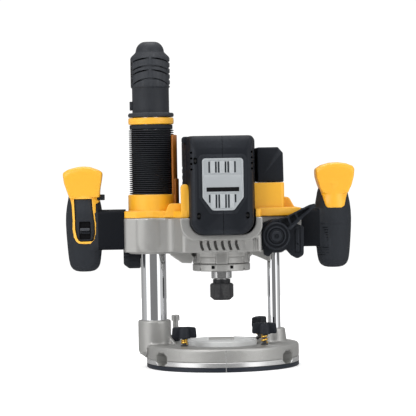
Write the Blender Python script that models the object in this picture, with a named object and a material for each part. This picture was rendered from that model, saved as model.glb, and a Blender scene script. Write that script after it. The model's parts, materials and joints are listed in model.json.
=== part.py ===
"""Cordless plunge router, modelled as an assembly of separate pieces.

Lengths below are in millimetres and become metres in add_solid. Every point is measured from the
spindle's axis at the sole's underside: X to the right, Y to the back, Z up. An empty carries
the whole assembly, so that the router stands centred on the world's origin.
"""

import math

import bmesh
import bpy
from mathutils import Matrix, Vector

MM = 0.001
TAU = 2 * math.pi
GAP = 0.3
MERGE = 0.002

# Layout
SPINDLE_X = 12.0
LEFT_X, RIGHT_X = -73.3, 56.3
BASE_R, SOLE_T, BASE_TOP = 82.3, 4.5, 24.5
SOLE_HOLE_R, THROAT_R, SHROUD_TOP = 31.0, 37.5, 28.5
ROD_Y, ROD_Z, ROD_R = 47.0, 11.0, 4.25
KNOB_X, BACK_KNOB_TURN = 42.5, 62.0
TURRET_X, TURRET_Y, TURRET_R, STOP_CIRCLE_R = -58.0, 38.0, 13.0, 8.0

# Columns and dust path
DUST_R, DUST_BORE_R, DUST_TOP = 13.5, 11.0, 272.0
GUIDE_R, GUIDE_BORE_R, GUIDE_TOP = 6.7, 4.6, 172.0
DUCT_LOW, DUCT_HIGH, DUCT_HALF = 13.5, 22.0, 9.0
BELLOWS_LOW, BELLOWS_HIGH, BELLOWS_R, FOLD_DEPTH = 186.3, 256.0, 24.3, 3.5
ADAPTER_TOP = 350.4

# Sliding head
CAST_LOW, CAST_HIGH, CAST_LEFT, CAST_RIGHT = 123.0, 161.0, -104.6, 86.0
PLATE_HIGH, COLLAR_HIGH, TOWER_HIGH, CAP_HIGH = 169.0, 185.0, 197.0, 234.6
NOSE_R, NOSE_LOW = 31.0, 103.0
COVER_LOW, COVER_HIGH, COVER_FRONT, COVER_BACK = 143.0, 247.5, -79.0, -10.0
COVER_WALL = 2.3
HUB_X, HUB_Z = 56.5, 140.5
GRIP_LEFT_X, GRIP_RIGHT_X, GRIP_LOW, GRIP_HIGH = -147.0, 121.5, 104.3, 187.4
DEPTH_X, DEPTH_Y, DEPTH_KNOB_Z = TURRET_X - STOP_CIRCLE_R, TURRET_Y, 120.0


# ---------------------------------------------------------------- scene helpers


def clear_scene():
    for obj in list(bpy.data.objects):
        bpy.data.objects.remove(obj, do_unlink=True)


def make_material(name, colour, roughness, metallic=0.0, alpha=1.0):
    material = bpy.data.materials.new(name)
    material.use_nodes = True
    shader = material.node_tree.nodes["Principled BSDF"]
    shader.inputs["Base Color"].default_value = (*colour, 1.0)
    shader.inputs["Roughness"].default_value = roughness
    shader.inputs["Metallic"].default_value = metallic
    shader.inputs["Alpha"].default_value = alpha
    return material


def to_object(name, bm, material=None, pivot=(0, 0, 0)):
    """A new object from a bmesh in millimetres, with its origin at the pivot."""
    bmesh.ops.remove_doubles(bm, verts=bm.verts, dist=MERGE)
    bmesh.ops.recalc_face_normals(bm, faces=bm.faces)
    bm.transform(Matrix.Scale(MM, 4) @ Matrix.Translation(-Vector(pivot)))
    mesh = bpy.data.meshes.new(name)
    bm.to_mesh(mesh)
    bm.free()
    mesh.shade_smooth()
    mesh.set_sharp_from_angle(angle=math.radians(35))
    obj = bpy.data.objects.new(name, mesh)
    obj.location = Vector(pivot) * MM
    obj.parent = ROUTER
    bpy.context.scene.collection.objects.link(obj)
    if material:
        mesh.materials.append(material)
    return obj


def combine(obj, bm, operation):
    """A Boolean of the object with a hidden helper made from the bmesh."""
    helper = to_object(f"{obj.name}_{operation.lower()}_{len(obj.modifiers)}", bm)
    helper.hide_render = True
    helper.display_type = "WIRE"
    modifier = obj.modifiers.new(operation.title(), "BOOLEAN")
    modifier.operation = operation
    modifier.object = helper
    modifier.solver = "EXACT"


def add_solid(name, bm, material, pivot=(0, 0, 0), unions=(), cuts=()):
    obj = to_object(name, bm, material, pivot)
    for extra in unions:
        combine(obj, extra, "UNION")
    for cutter in cuts:
        combine(obj, cutter, "DIFFERENCE")
    return obj


# ---------------------------------------------------------------- shapes


def place(bm, axis, centre):
    """Turns a shape built along Z to lie along the named axis, then moves it to the centre."""
    turn = {
        "Z": Matrix.Identity(4),
        "X": Matrix.Rotation(math.pi / 2, 4, "Y"),
        "Y": Matrix.Rotation(-math.pi / 2, 4, "X"),
    }[axis]
    bm.transform(Matrix.Translation(Vector(centre)) @ turn)
    return bm


def turned(profile, centre=(0, 0, 0), axis="Z", steps=28):
    """Spins a profile of (radius, height) points; it closes itself unless it ends on the axis."""
    bm = bmesh.new()
    verts = [bm.verts.new((radius, 0, height)) for radius, height in profile]
    edges = [bm.edges.new(pair) for pair in zip(verts, verts[1:])]
    if profile[0][0] > 0 or profile[-1][0] > 0:
        edges.append(bm.edges.new((verts[-1], verts[0])))
    bmesh.ops.spin(
        bm, geom=verts + edges, axis=(0, 0, 1), cent=(0, 0, 0), angle=TAU, steps=steps
    )
    bmesh.ops.remove_doubles(bm, verts=bm.verts, dist=MERGE)
    return place(bm, axis, centre)


def rod(radius, low, high, centre=(0, 0, 0), axis="Z", steps=24):
    return turned([(0, low), (radius, low), (radius, high), (0, high)], centre, axis, steps)


def tube(outer, inner, low, high, centre=(0, 0, 0), axis="Z", steps=28):
    profile = [(inner, low), (outer, low), (outer, high), (inner, high)]
    return turned(profile, centre, axis, steps)


def box(x, y, z):
    bm = bmesh.new()
    bmesh.ops.create_cube(bm, size=1.0)
    size = Vector((x[1] - x[0], y[1] - y[0], z[1] - z[0]))
    middle = Vector((x[0] + x[1], y[0] + y[1], z[0] + z[1])) / 2
    bm.transform(Matrix.Translation(middle) @ Matrix.Diagonal((*size, 1)))
    return bm


def rounded(corners, steps=4):
    """An outline of (u, v, radius) corners, each one rounded by an arc."""
    outline = []
    count = len(corners)
    for i, (u, v, radius) in enumerate(corners):
        corner = Vector((u, v))
        if radius <= 0:
            outline.append(corner)
            continue
        back = (Vector(corners[i - 1][:2]) - corner).normalized()
        ahead = (Vector(corners[(i + 1) % count][:2]) - corner).normalized()
        half = back.angle(ahead) / 2
        centre = corner + (back + ahead).normalized() * radius / math.sin(half)
        first = corner + back * radius / math.tan(half) - centre
        last = corner + ahead * radius / math.tan(half) - centre
        sweep = first.angle_signed(last)
        for step in range(steps + 1):
            spun = Matrix.Rotation(-sweep * step / steps, 2) @ first
            outline.append(centre + spun)
    return outline


def prism(outline, low, high, axis="Z"):
    """Extrudes an outline: (x, y) along Z, (x, z) along Y, or (y, z) along X."""
    order = {
        "Z": lambda u, v, w: (u, v, w),
        "Y": lambda u, v, w: (u, w, v),
        "X": lambda u, v, w: (w, u, v),
    }[axis]
    bm = bmesh.new()
    face = bm.faces.new([bm.verts.new(order(u, v, low)) for u, v in outline])
    made = bmesh.ops.extrude_face_region(bm, geom=[face])["geom"]
    moved = [item for item in made if isinstance(item, bmesh.types.BMVert)]
    bmesh.ops.translate(bm, verts=moved, vec=order(0, 0, high - low))
    return bm


def loft(sections):
    """Skins a row of closed sections that have the same number of points, and caps both ends."""
    bm = bmesh.new()
    rings = [[bm.verts.new(point) for point in section] for section in sections]
    for ring, following in zip(rings, rings[1:]):
        for i in range(len(ring)):
            after = (i + 1) % len(ring)
            bm.faces.new((ring[i], ring[after], following[after], following[i]))
    bm.faces.new(rings[0])
    bm.faces.new(rings[-1])
    return bm


def coil(radius, wire, low, high, turns, centre, steps=10, sides=5):
    """A compression spring: a wire's round section carried along a helix."""
    sections = []
    for i in range(turns * steps + 1):
        turn = TAU * i / steps
        rise = low + wire + (high - low - 2 * wire) * i / (turns * steps)
        out = Vector((math.cos(turn), math.sin(turn), 0))
        middle = Vector(centre) + out * radius + Vector((0, 0, rise))
        ring = []
        for side in range(sides):
            angle = TAU * side / sides
            ring.append(middle + out * wire * math.cos(angle) + Vector((0, 0, wire * math.sin(angle))))
        sections.append(ring)
    return loft(sections)


# ---------------------------------------------------------------- base


def build_sole():
    profile = [(SOLE_HOLE_R, 0), (BASE_R - 1, 0), (BASE_R, 1), (BASE_R, SOLE_T), (SOLE_HOLE_R, SOLE_T)]
    add_solid("sole_plate", turned(profile, steps=48), PHENOLIC)


def knob_places():
    return {
        "front_left": (-KNOB_X, -ROD_Y, 33.7),
        "front_right": (KNOB_X, -ROD_Y, 36.7),
        "back_right": (KNOB_X, ROD_Y, 36.7),
    }


def build_base_casting():
    low = SOLE_T + GAP
    chamfer = 1.5
    ring = [
        (THROAT_R, low), (BASE_R, low), (BASE_R, BASE_TOP - chamfer), (BASE_R - chamfer, BASE_TOP), (THROAT_R, BASE_TOP),
    ]
    left_boss = [(0, 10.5), (10.8, 10.5), (17.8, 17.5), (17.8, 50), (16.8, 51), (0, 51)]
    right_boss = [(0, 6), (13, 6), (13, 26), (11.5, 39.5), (11, 40), (0, 40)]
    bore, seat = DUST_BORE_R, DUST_R + GAP
    socket = [(0, DUCT_LOW), (bore, DUCT_LOW), (bore, DUCT_HIGH), (seat, DUCT_HIGH), (seat, 60), (0, 60)]
    pads = [rod(6.5, 20, BASE_TOP + 1, (x, y, 0), steps=16) for x, y, _ in knob_places().values()]
    channels = [rod(ROD_R, -90, 90, (0, y, ROD_Z), "X", 12) for y in (-ROD_Y, ROD_Y)]
    stud_holes = [rod(2.7, ROD_Z, 30, (x, y, 0), steps=12) for x, y, _ in knob_places().values()]
    add_solid(
        "base_casting",
        turned(ring, steps=48),
        CAST_METAL,
        unions=[turned(left_boss, (LEFT_X, 0, 0), steps=32), turned(right_boss, (RIGHT_X, 0, 0))] + pads,
        cuts=[
            turned(socket, (LEFT_X, 0, 0), steps=32),
            box((LEFT_X, -THROAT_R + 3), (-DUCT_HALF, DUCT_HALF), (DUCT_LOW, DUCT_HIGH - 1)),
            rod(GUIDE_R + GAP, 8, 50, (RIGHT_X, 0, 0), steps=20),
            rod(2.4, 16, 30, (TURRET_X, TURRET_Y, 0), steps=12),
        ]
        + channels
        + stud_holes,
    )


def build_shroud():
    """Clear liner of the throat, open to the duct that leads to the hollow column."""
    outer, wall = THROAT_R - GAP, 2.0
    profile = [
        (SOLE_HOLE_R, 5), (outer, 5), (outer, SHROUD_TOP), (outer - wall, SHROUD_TOP), (outer - wall, 7), (SOLE_HOLE_R, 7),
    ]
    duct = box((-THROAT_R - 2, -30), (-DUCT_HALF, DUCT_HALF), (DUCT_LOW, DUCT_HIGH - 1))
    add_solid("clear_shroud", turned(profile, steps=40), CLEAR_PLASTIC, cuts=[duct])


def build_clamp_knobs():
    """Wing knobs whose studs pinch the fence rods, each with a spring that stops rattle."""
    for place_name, (x, y, low) in knob_places().items():
        left, right, top = x - 13.3, x + 13.3, low + 12.3
        wing = prism(rounded([(left, low + 3, 3), (right, low + 3, 3), (right, top, 3), (left, top, 3)], 3), y - 4, y + 4, "Y")
        if place_name == "back_right":
            centre = Matrix.Translation((x, y, 0))
            wing.transform(centre @ Matrix.Rotation(math.radians(BACK_KNOB_TURN), 4, "Z") @ centre.inverted())
        add_solid(
            f"fence_clamp_knob_{place_name}",
            wing,
            BLACK_PLASTIC,
            pivot=(x, y, 0),
            unions=[
                rod(6.6, low, low + 9, (x, y, 0), steps=20),
                rod(2.2, ROD_Z + ROD_R + 1, low + 4, (x, y, 0), steps=12),
            ],
        )
        add_solid(
            f"fence_clamp_spring_{place_name}",
            coil(2.95, 0.4, BASE_TOP + 1 + GAP, low - GAP, 3, (x, y, 0), steps=8, sides=4),
            SPRING_BRASS,
        )


def build_turret():
    """Turning depth stop: a disc with three screws of different heights."""
    centre = (TURRET_X, TURRET_Y, 0)
    low = BASE_TOP + GAP
    profile = [(0, 17), (2.1, 17), (2.1, low), (TURRET_R, low), (TURRET_R, 29), (TURRET_R - 1, 30), (0, 30)]
    add_solid("depth_turret", turned(profile, centre, steps=32), BLACK_PLASTIC, pivot=centre)
    for i, (label, top) in enumerate((("tall", 53.0), ("middle", 44.0), ("short", 37.0))):
        angle = TAU * i / 3
        spot = (TURRET_X + STOP_CIRCLE_R * math.cos(angle), TURRET_Y + STOP_CIRCLE_R * math.sin(angle), 0)
        low = 30 + GAP
        profile = [
            (0, low), (4, low), (4, top - 5.6), (2.6, top - 5), (2.6, top - 4), (4.15, top - 3.6), (4.15, top), (0, top),
        ]
        add_solid(f"stop_screw_{label}", turned(profile, spot, steps=12), ZINC, pivot=centre)


def build_columns():
    add_solid(
        "dust_column", tube(DUST_R, DUST_BORE_R, DUCT_HIGH + GAP, DUST_TOP, (LEFT_X, 0, 0)), CHROME
    )
    profile = [
        (0, 8 + GAP), (GUIDE_R, 8 + GAP), (GUIDE_R, GUIDE_TOP), (GUIDE_BORE_R, GUIDE_TOP), (GUIDE_BORE_R, 30), (0, 30),
    ]
    add_solid("guide_column", turned(profile, (RIGHT_X, 0, 0), steps=24), CHROME)


def build_dust_outlet():
    """Everything clamped on top of the hollow column: cuff, ring, hose adapter."""
    centre = (LEFT_X, 0, 0)
    hole = DUST_R + GAP
    add_solid("bellows_cuff", tube(23, hole, 256.3, 261, centre), BLACK_PLASTIC)
    add_solid("adapter_ring", tube(24.5, hole, 261.3, 268.9, centre), YELLOW_PLASTIC)
    outside = [
        (24.6, 269.4), (24.6, 274.4), (20, 274.7), (20, 301), (20.9, 301.7), (20.9, 334.2), (15.2, 339.4),
        (14.6, 343.5), (13, 347.2), (10.8, ADAPTER_TOP),
    ]
    inside = [(8.6, ADAPTER_TOP), (8.6, 347.6), (12.8, 340), (17.5, 332), (17.5, 278), (hole, 273), (hole, 269.4)]
    add_solid("dust_adapter", turned(outside + inside, centre), BLACK_PLASTIC)


def build_bellows():
    folds = 7
    pitch = (BELLOWS_HIGH - BELLOWS_LOW) / folds
    outside = []
    for i in range(folds):
        outside += [(BELLOWS_R - FOLD_DEPTH, BELLOWS_LOW + pitch * i), (BELLOWS_R, BELLOWS_LOW + pitch * (i + 0.5))]
    outside.append((BELLOWS_R - FOLD_DEPTH, BELLOWS_HIGH))
    inside = [(BELLOWS_R - FOLD_DEPTH - 1.5, BELLOWS_HIGH), (BELLOWS_R - FOLD_DEPTH - 1.5, BELLOWS_LOW)]
    add_solid("dust_bellows", turned(outside + inside, (LEFT_X, 0, 0), steps=20), RUBBER)


def build_plunge_spring():
    add_solid(
        "plunge_spring",
        coil(3.6, 0.5, 30.4, 229.5, 11, (RIGHT_X, 0, 0), steps=7, sides=4),
        STEEL,
    )


# ---------------------------------------------------------------- head: casting and housing


def cover_sections(grow=0.0):
    """Sections of the front cover's outside, from its front face to its back edge."""
    stations = (
        (COVER_FRONT, 29.5, 147.0, 240.5, 9.0),
        (COVER_FRONT + 2.5, 32.6, 144.0, 243.5, 12.0),
        (COVER_FRONT + 7, 33.8, COVER_LOW, 246.0, 13.0),
        (-45, 36.8, COVER_LOW, COVER_HIGH, 13.0),
        (COVER_BACK, 40.0, COVER_LOW, COVER_HIGH, 13.0),
    )
    sections = []
    for y, half, low, high, radius in stations:
        half, low, high = half + grow, low - grow, high + grow
        foot, head = radius + grow, 5 + grow
        ring = rounded([(-half, low, foot), (half, low, foot), (half, high, head), (-half, high, head)])
        sections.append([(u, y - (grow if y == COVER_FRONT else 0), v) for u, v in ring])
    return sections


def cast_plan(inset=0.0):
    """The head's outline seen from above."""
    corners = (
        (CAST_LEFT, -20, 4), (-88, -25, 12), (-52, -30, 10), (-43, -60, 6), (40.5, -60, 3), (40.5, -38.2, 2),
        (76, -38.2, 8), (CAST_RIGHT, -20, 4), (CAST_RIGHT, 20, 4), (60, 24, 10), (42, 52, 12),
        (-40, 52, 12), (-54, 24, 10), (-88, 22, 10), (CAST_LEFT, 18, 4),
    )
    middle_y = -4
    return rounded(
        [(x - math.copysign(inset, x), y - math.copysign(inset, y - middle_y), r) for x, y, r in corners], 3
    )


def build_head_casting():
    nose = [(0, NOSE_LOW + 8), (NOSE_R, NOSE_LOW + 8), (NOSE_R, CAST_LOW + 1), (0, CAST_LOW + 1)]
    ears = [
        prism(rounded([(-57, 124, 0), (-36, 124, 0), (-38, 112, 2), (-44, 112, 2)], 2), -24, -12, "Y"),
        prism(rounded([(36, 124, 0), (52, 124, 0), (46, 113, 2), (42, 113, 2)], 2), -24, -12, "Y"),
    ]
    depth_block = box((-82, -60), (20, 52), (110, 150))
    seat = loft(cover_sections(0.4))
    motor_bore = rod(36, 124.5, 170, steps=40)
    add_solid(
        "head_casting",
        prism(cast_plan(), CAST_LOW, CAST_HIGH),
        CAST_METAL,
        unions=[turned(nose, steps=40), depth_block] + ears,
        cuts=[
            seat,
            motor_bore,
            rod(15.3, 100, 120, steps=32),
            rod(9.5, 110, 130, steps=24),
            rod(15.9, 100, 170, (LEFT_X, 0, 0), steps=32),
            rod(9.5, 100, 170, (RIGHT_X, 0, 0), steps=24),
            rod(4.4, -60, -9, (HUB_X, 0, HUB_Z), "Y", 16),
            rod(3.9, 100, 170, (DEPTH_X, DEPTH_Y, 0), steps=16),
            rod(3.4, -90, DEPTH_X, (0, DEPTH_Y, DEPTH_KNOB_Z), "X", 16),
        ],
    )
    add_solid(
        "column_bush_left", tube(15.6, 13.7, 124, 160, (LEFT_X, 0, 0)), BRONZE
    )
    add_solid(
        "column_bush_right", tube(9.2, 6.9, 124, 160, (RIGHT_X, 0, 0), steps=24), BRONZE
    )


def build_nose_ring():
    windows = [box((x - 2, x + 2), (-32, -27), (105.5, 109.5)) for x in (-10, 10)]
    pin_hole = rod(3.0, 10, 34, (0, 0, 107), "Y", 16)
    add_solid(
        "nose_ring", tube(NOSE_R, 12.2, NOSE_LOW, NOSE_LOW + 7.7, steps=40), CAST_METAL, cuts=windows + [pin_hole]
    )
    for side, x in (("left", -10), ("right", 10)):
        lens = box((x - 1.7, x + 1.7), (-29.8, -27.3), (105.8, 109.2))
        add_solid(f"led_lens_{side}", lens, CLEAR_PLASTIC)


def plate_cuts(side):
    """Room for the cover and the motor housing, and everything past the middle on the other side."""
    near, far = side * 40.4, side * -120
    return [
        loft(cover_sections(0.5)),
        box(sorted((near, far)), (-12, 70), (150, 260)),
        box(sorted((side * 20, far)), (-80, -11), (150, 260)),
    ]


def build_left_housing():
    """Yellow shell on the casting's left: plate, bellows collar, tall guard and upright."""
    low = CAST_HIGH + GAP
    collar = rod(24.8, low + 2, COLLAR_HIGH, (LEFT_X, 0, 0), steps=40)
    upright = prism(rounded([(-43, -58, 3), (-34, -58, 1), (-34, -38, 1), (-43, -38, 3)], 3), low + 1, 196.7)
    guard_outline = []
    for radius, direction in ((27.4, 1), (25.4, -1)):
        for step in range(7):
            angle = math.radians(direction * (-36 + 12 * step))
            guard_outline.append((LEFT_X + radius * math.cos(angle), radius * math.sin(angle)))
    guard = prism(guard_outline, low + 3, 250)
    well = [(0, 150), (14.3, 150), (14.3, 171), (20.8, 171), (20.8, 260), (0, 260)]
    add_solid(
        "left_housing",
        prism(cast_plan(0.8), low, PLATE_HIGH),
        YELLOW_PLASTIC,
        unions=[collar, upright, guard],
        cuts=plate_cuts(-1)
        + [turned(well, (LEFT_X, 0, 0)), rod(4.3, 150, 200, (DEPTH_X, DEPTH_Y, 0), steps=16)],
    )


def build_right_housing():
    """Yellow shell on the casting's right: plate, spring tower and sloping shoulder."""
    low = CAST_HIGH + GAP
    tower = prism(rounded([(30, -44, 2), (68, -44, 4), (68, 22, 6), (30, 22, 2)], 3), low + 1, TOWER_HIGH)
    shoulder = prism([(64, low + 2), (84, low + 2), (84, 168), (71, 180.5), (64, 180.5)], -14, 14, "Y")
    add_solid(
        "right_housing",
        prism(cast_plan(0.8), low, PLATE_HIGH),
        YELLOW_PLASTIC,
        unions=[tower, shoulder],
        cuts=plate_cuts(1) + [rod(7.4, 150, 240, (RIGHT_X, 0, 0))],
    )


def build_covers():
    """Front clamshell: two halves that meet on the middle plane, with a recess for the badge."""
    inner = [
        [(x * (1 - COVER_WALL / 34), y, 195 + (z - 195) * (1 - COVER_WALL / 50)) for x, y, z in section]
        for section in cover_sections()
    ]
    inner[0] = [(x, COVER_FRONT + COVER_WALL, z) for x, _, z in inner[0]]
    last = inner[-1]
    inner.append([(x, COVER_BACK + 5, z) for x, _, z in last])
    for side, half in (("left", (-60, -0.15)), ("right", (0.15, 60))):
        keep = box(half, (-100, COVER_BACK + 10), (100, 300))
        shell = loft(cover_sections())
        obj = add_solid(
            f"front_cover_{side}",
            shell,
            BLACK_PLASTIC,
            cuts=[
                loft(inner),
                box((-50, 50), (-44.7, 20), (100, CAST_HIGH + GAP)),
                prism(badge_outline(0.4), COVER_FRONT - 1, COVER_FRONT + 1, "Y"),
                prism(badge_outline(-4), COVER_FRONT - 1, COVER_FRONT + 4, "Y"),
            ],
        )
        combine(obj, keep, "INTERSECT")


def badge_outline(grow=0.0):
    half, foot = 21.4 + grow, 11.0 + grow * 0.4
    return rounded(
        [
            (-half, 223.5 + grow, 3), (-half, 182, 3), (-foot, 169 - grow, 3),
            (foot, 169 - grow, 3), (half, 182, 3), (half, 223.5 + grow, 3),
        ],
        3,
    )


def build_badge():
    slots = []
    for low, high in ((209, 220), (173, 185)):
        for x in (-14, -6, 4, 12.5):
            slots.append(box((x - 0.9, x + 0.9), (COVER_FRONT - 3, COVER_FRONT + 3), (low, high)))
    add_solid(
        "badge_grille",
        prism(badge_outline(), COVER_FRONT - 1.2, COVER_FRONT + 0.7, "Y"),
        BADGE_SILVER,
        cuts=slots,
    )


def build_rear():
    """Rear motor housing, with the battery rails and contacts on its back."""
    low, back = CAST_HIGH + GAP, 58.0
    front, half, wall = COVER_BACK + GAP, 40, 2.4
    plan = [(-half, front, 0), (half, front, 0), (half, back, 9), (-half, back, 9)]
    outer = prism(rounded(plan, 3), low, COVER_HIGH)
    half, front, inside = half - wall, COVER_BACK - 5, back - wall
    plan = [(-half, front, 0), (half, front, 0), (half, inside, 7), (-half, inside, 7)]
    inner = prism(rounded(plan, 3), low - 1, COVER_HIGH - wall)
    dial_hole = rod(5, 50, 70, (-24, 0, 228), "Y", 16)
    add_solid("rear_housing", outer, BLACK_PLASTIC, cuts=[inner, dial_hole])
    right_half = [
        (24, 58.3), (24, 64), (29, 64), (29, 70), (22, 70), (22, 67), (18, 67), (18, 72), (14, 72), (14, 70),
    ]
    left_half = [(-x, y) for x, y in reversed(right_half)]
    add_solid("battery_rails", prism(right_half + left_half, 166, 216), BLACK_PLASTIC)
    blades = [box((x - 0.6, x + 0.6), (72, 77), (176, 200)) for x in (-9, -3, 3, 9)]
    add_solid("terminal_block", box((-13, 13), (70.3, 73), (172, 204)), BLACK_PLASTIC, unions=blades)
    low = TOWER_HIGH + GAP
    cap = prism([(41, low), (68, low), (67.6, 228.4), (62.2, CAP_HIGH), (41, CAP_HIGH)], -36, 22, "Y")
    spring_room = rod(7.4, 190, 231, (RIGHT_X, 0, 0))
    add_solid("spring_cap", cap, BLACK_PLASTIC, cuts=[spring_room])
    dial = turned([(0, 50), (4.6, 50), (4.6, 58.4), (9, 58.4), (9, 62.5), (8, 63.5), (0, 63.5)], (-24, 0, 228), "Y", 20)
    add_solid("speed_dial", dial, GREY_PLASTIC, pivot=(-24, 58, 228))


# ---------------------------------------------------------------- motor and spindle


def build_motor():
    can = [
        (30.9, 161.3), (33, 161.3), (33, 240), (11.3, 240), (11.3, 229.6), (7.5, 229.6), (7.5, 227.6), (13.5, 227.6),
        (13.5, 237.8), (30.9, 237.8),
    ]
    add_solid("motor_can", turned(can, steps=32), GREY_PLASTIC)
    add_solid("motor_stator", tube(30.5, 19.2, 146, 214, steps=32), STEEL)
    add_solid("motor_rotor", tube(18.6, 6.3, 148, 212, steps=24), STEEL)
    add_solid("upper_bearing", tube(11, 6.3, 230, 237, steps=24), STEEL)
    add_solid("lower_bearing", tube(15, 7.9, 111.2, 119.6, steps=24), STEEL)
    shaft = [
        (8.5, 84), (8.5, 94), (11, 94.3), (11, 102.4), (7.6, 102.7), (7.6, 121), (6, 121.3), (6, 236), (0, 236), (0, 96),
        (5.2, 96), (6.8, 84),
    ]
    add_solid("spindle_shaft", turned(shaft, steps=24), STEEL)
    blades = []
    for i in range(9):
        blade = box((9, 27.5), (-0.8, 0.8), (129, 137))
        blade.transform(Matrix.Rotation(TAU * i / 9, 4, "Z"))
        blades.append(blade)
    fan = [(6.3, 127), (28, 127), (28, 129.2), (11, 130), (11, 138), (6.3, 138)]
    add_solid("cooling_fan", turned(fan, steps=24), BLACK_PLASTIC, unions=blades)
    collet = [(3.2, 75), (6.2, 75), (7.5, 79), (7.5, 83.4), (6.3, 83.6), (4.9, 95.5), (3.2, 95.5)]
    add_solid("collet", turned(collet, steps=20), STEEL)
    hexagon = [(12.6 * math.cos(TAU * i / 6), 12.6 * math.sin(TAU * i / 6)) for i in range(6)]
    bore = turned([(0, 60), (6.7, 60), (6.7, 74.5), (8, 78.5), (8.8, 79.5), (8.8, 95), (0, 95)], steps=24)
    add_solid("collet_nut", prism(hexagon, 71, 89), BLACK_STEEL, cuts=[bore])


def build_spindle_lock():
    button = turned([(0, 12.4), (2.7, 12.4), (2.7, 34.3), (5.5, 34.3), (5.5, 37.5), (4.5, 38.5), (0, 38.5)], (0, 0, 107), "Y", 16)
    add_solid("spindle_lock_button", button, BLACK_PLASTIC)


# ---------------------------------------------------------------- controls


def build_plunge_lock():
    """Ribbed lever on the right column's clamp, with its backing plate and clamp bolt."""
    plate = rounded(
        [(42, 158, 5), (42, 128, 6), (45, 119, 3), (50, 119, 3), (57, 127, 4), (66, 127, 4), (73, 118, 5), (86, 118, 6),
         (86, 150, 5), (72, 156, 5), (60, 158, 4)], 3)
    add_solid(
        "lever_plate", prism(plate, -45, -38.6, "Y"), BLACK_PLASTIC, cuts=[rod(5, -50, -30, (HUB_X, 0, HUB_Z), "Y", 16)]
    )
    arm = [(44.5, 149), (52, 156.5), (66, 159.5), (92, 172), (98, 174), (98.5, 170), (88, 162), (72, 147)]
    hub = turned([(4.6, -46), (15, -46), (15, -55), (13, -57), (4.6, -57)], (HUB_X, 0, HUB_Z), "Y")
    bolt_hole = rod(4.6, -60, -40, (HUB_X, 0, HUB_Z), "Y", 16)
    add_solid(
        "plunge_lock_lever", prism(arm, -54.5, -46.5, "Y"), BLACK_PLASTIC, (HUB_X, -50, HUB_Z), [hub], [bolt_hole]
    )
    bolt = turned([(0, -10.5), (4, -10.5), (4, -57.3), (6.5, -57.3), (6.5, -59), (0, -60)], (HUB_X, 0, HUB_Z), "Y", 16)
    add_solid("lock_bolt", bolt, STEEL, pivot=(HUB_X, -50, HUB_Z))


def build_depth_stop():
    rod_profile = [(0, 112), (3.5, 112), (3.5, 238), (2.5, 240), (0, 240)]
    add_solid("depth_rod", turned(rod_profile, (DEPTH_X, DEPTH_Y, 0), steps=16), STEEL)
    reach = -DEPTH_X + 3.5 + GAP
    knob = [(0, -106), (12, -106), (15, -103), (15, -90), (7, -88), (3, -86), (3, -reach), (0, -reach)]
    add_solid(
        "depth_clamp_knob",
        turned(knob, (0, DEPTH_Y, DEPTH_KNOB_Z), "X", 20),
        BLACK_PLASTIC,
        pivot=(-98, DEPTH_Y, DEPTH_KNOB_Z),
    )


# ---------------------------------------------------------------- handles


def grip_profile():
    return [
        (0, GRIP_LOW), (8, GRIP_LOW), (12.8, 106.6), (16.2, 112), (17.6, 120), (19, 138), (20, 157), (18.4, 174),
        (16, GRIP_HIGH), (0, GRIP_HIGH),
    ]


def crown(centre, foot, head, low, top):
    """A fan-shaped grip top: narrow where it meets the grip, widest just under its rounded head."""
    sections = []
    stations = (
        (low, foot, 14), (low + 10, (foot + head) / 2, 15.5), (209, head - 0.6, 16.5), (213, head, 16.5),
        (top - 1.6, head - 4, 14), (top, head - 9, 10),
    )
    for z, half, depth in stations:
        left, right = centre - half, centre + half
        ring = rounded([(left, -depth, 6), (right, -depth, 6), (right, depth, 6), (left, depth, 6)], 3)
        sections.append([(u, v, z) for u, v in ring])
    return loft(sections)


def build_left_handle():
    x = GRIP_LEFT_X
    neck = prism(rounded([(-16, 128, 8), (16, 128, 8), (16, 170, 8), (-16, 170, 8)], 3), x + 10, CAST_LEFT - GAP, "X")
    window = box((x - 10, x + 9), (-30, -5), (135.5, 182.5))
    bezel_seat = box((x - 13.4, x + 12.4), (-30, -16.9), (132.6, 186))
    button_hole = box((x + 11, x + 30), (-12.4, -2.6), (180.6, 187.6))
    grip = turned(grip_profile(), (x, 0, 0))
    add_solid("left_grip", grip, GRIP_RUBBER, unions=[neck], cuts=[window, bezel_seat, button_hole])
    outer = rounded([(x - 13, 133, 10), (x + 12, 133, 10), (x + 12, 185.6, 3), (x - 13, 185.6, 3)])
    inner = rounded([(x - 10, 136, 8), (x + 9, 136, 8), (x + 9, 182.3, 2), (x - 10, 182.3, 2)])
    add_solid(
        "switch_bezel", prism(outer, -20.4, -17.2, "Y"), YELLOW_PLASTIC, cuts=[prism(inner, -25, -10, "Y")]
    )
    add_solid("left_crown", crown(x - 0.2, 17.3, 21.1, GRIP_HIGH + 0.4, 217.5), YELLOW_PLASTIC)
    paddle = rounded([(x - 9.6, 137.5, 7), (x + 8.6, 137.5, 7), (x + 8.6, 181.6, 1), (x - 9.6, 181.6, 1)])
    add_solid("trigger", prism(paddle, -19.5, -11, "Y"), BLACK_PLASTIC, pivot=(x, -15, 180.5))
    ribbed = rounded([(x - 6.5, 140, 2), (x + 6.5, 140, 2), (x + 6.5, 154, 2), (x - 6.5, 154, 2)], 3)
    add_solid("lock_slider", prism(ribbed, -22.5, -19.8, "Y"), GREY_PLASTIC)
    add_solid(
        "lock_off_button", box((x + 14.5, x + 22.6), (-12, -3), (181, 187.2)), BLACK_PLASTIC
    )


def build_right_handle():
    x = GRIP_RIGHT_X
    neck = prism(rounded([(-16, 128, 8), (16, 128, 8), (16, 168, 8), (-16, 168, 8)], 3), CAST_RIGHT + GAP, x - 10, "X")
    add_solid("right_grip", turned(grip_profile(), (x, 0, 0)), GRIP_RUBBER, unions=[neck])
    add_solid("right_crown", crown(x + 1.8, 15, 21.4, GRIP_HIGH + 0.4, 217.7), YELLOW_PLASTIC)


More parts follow.
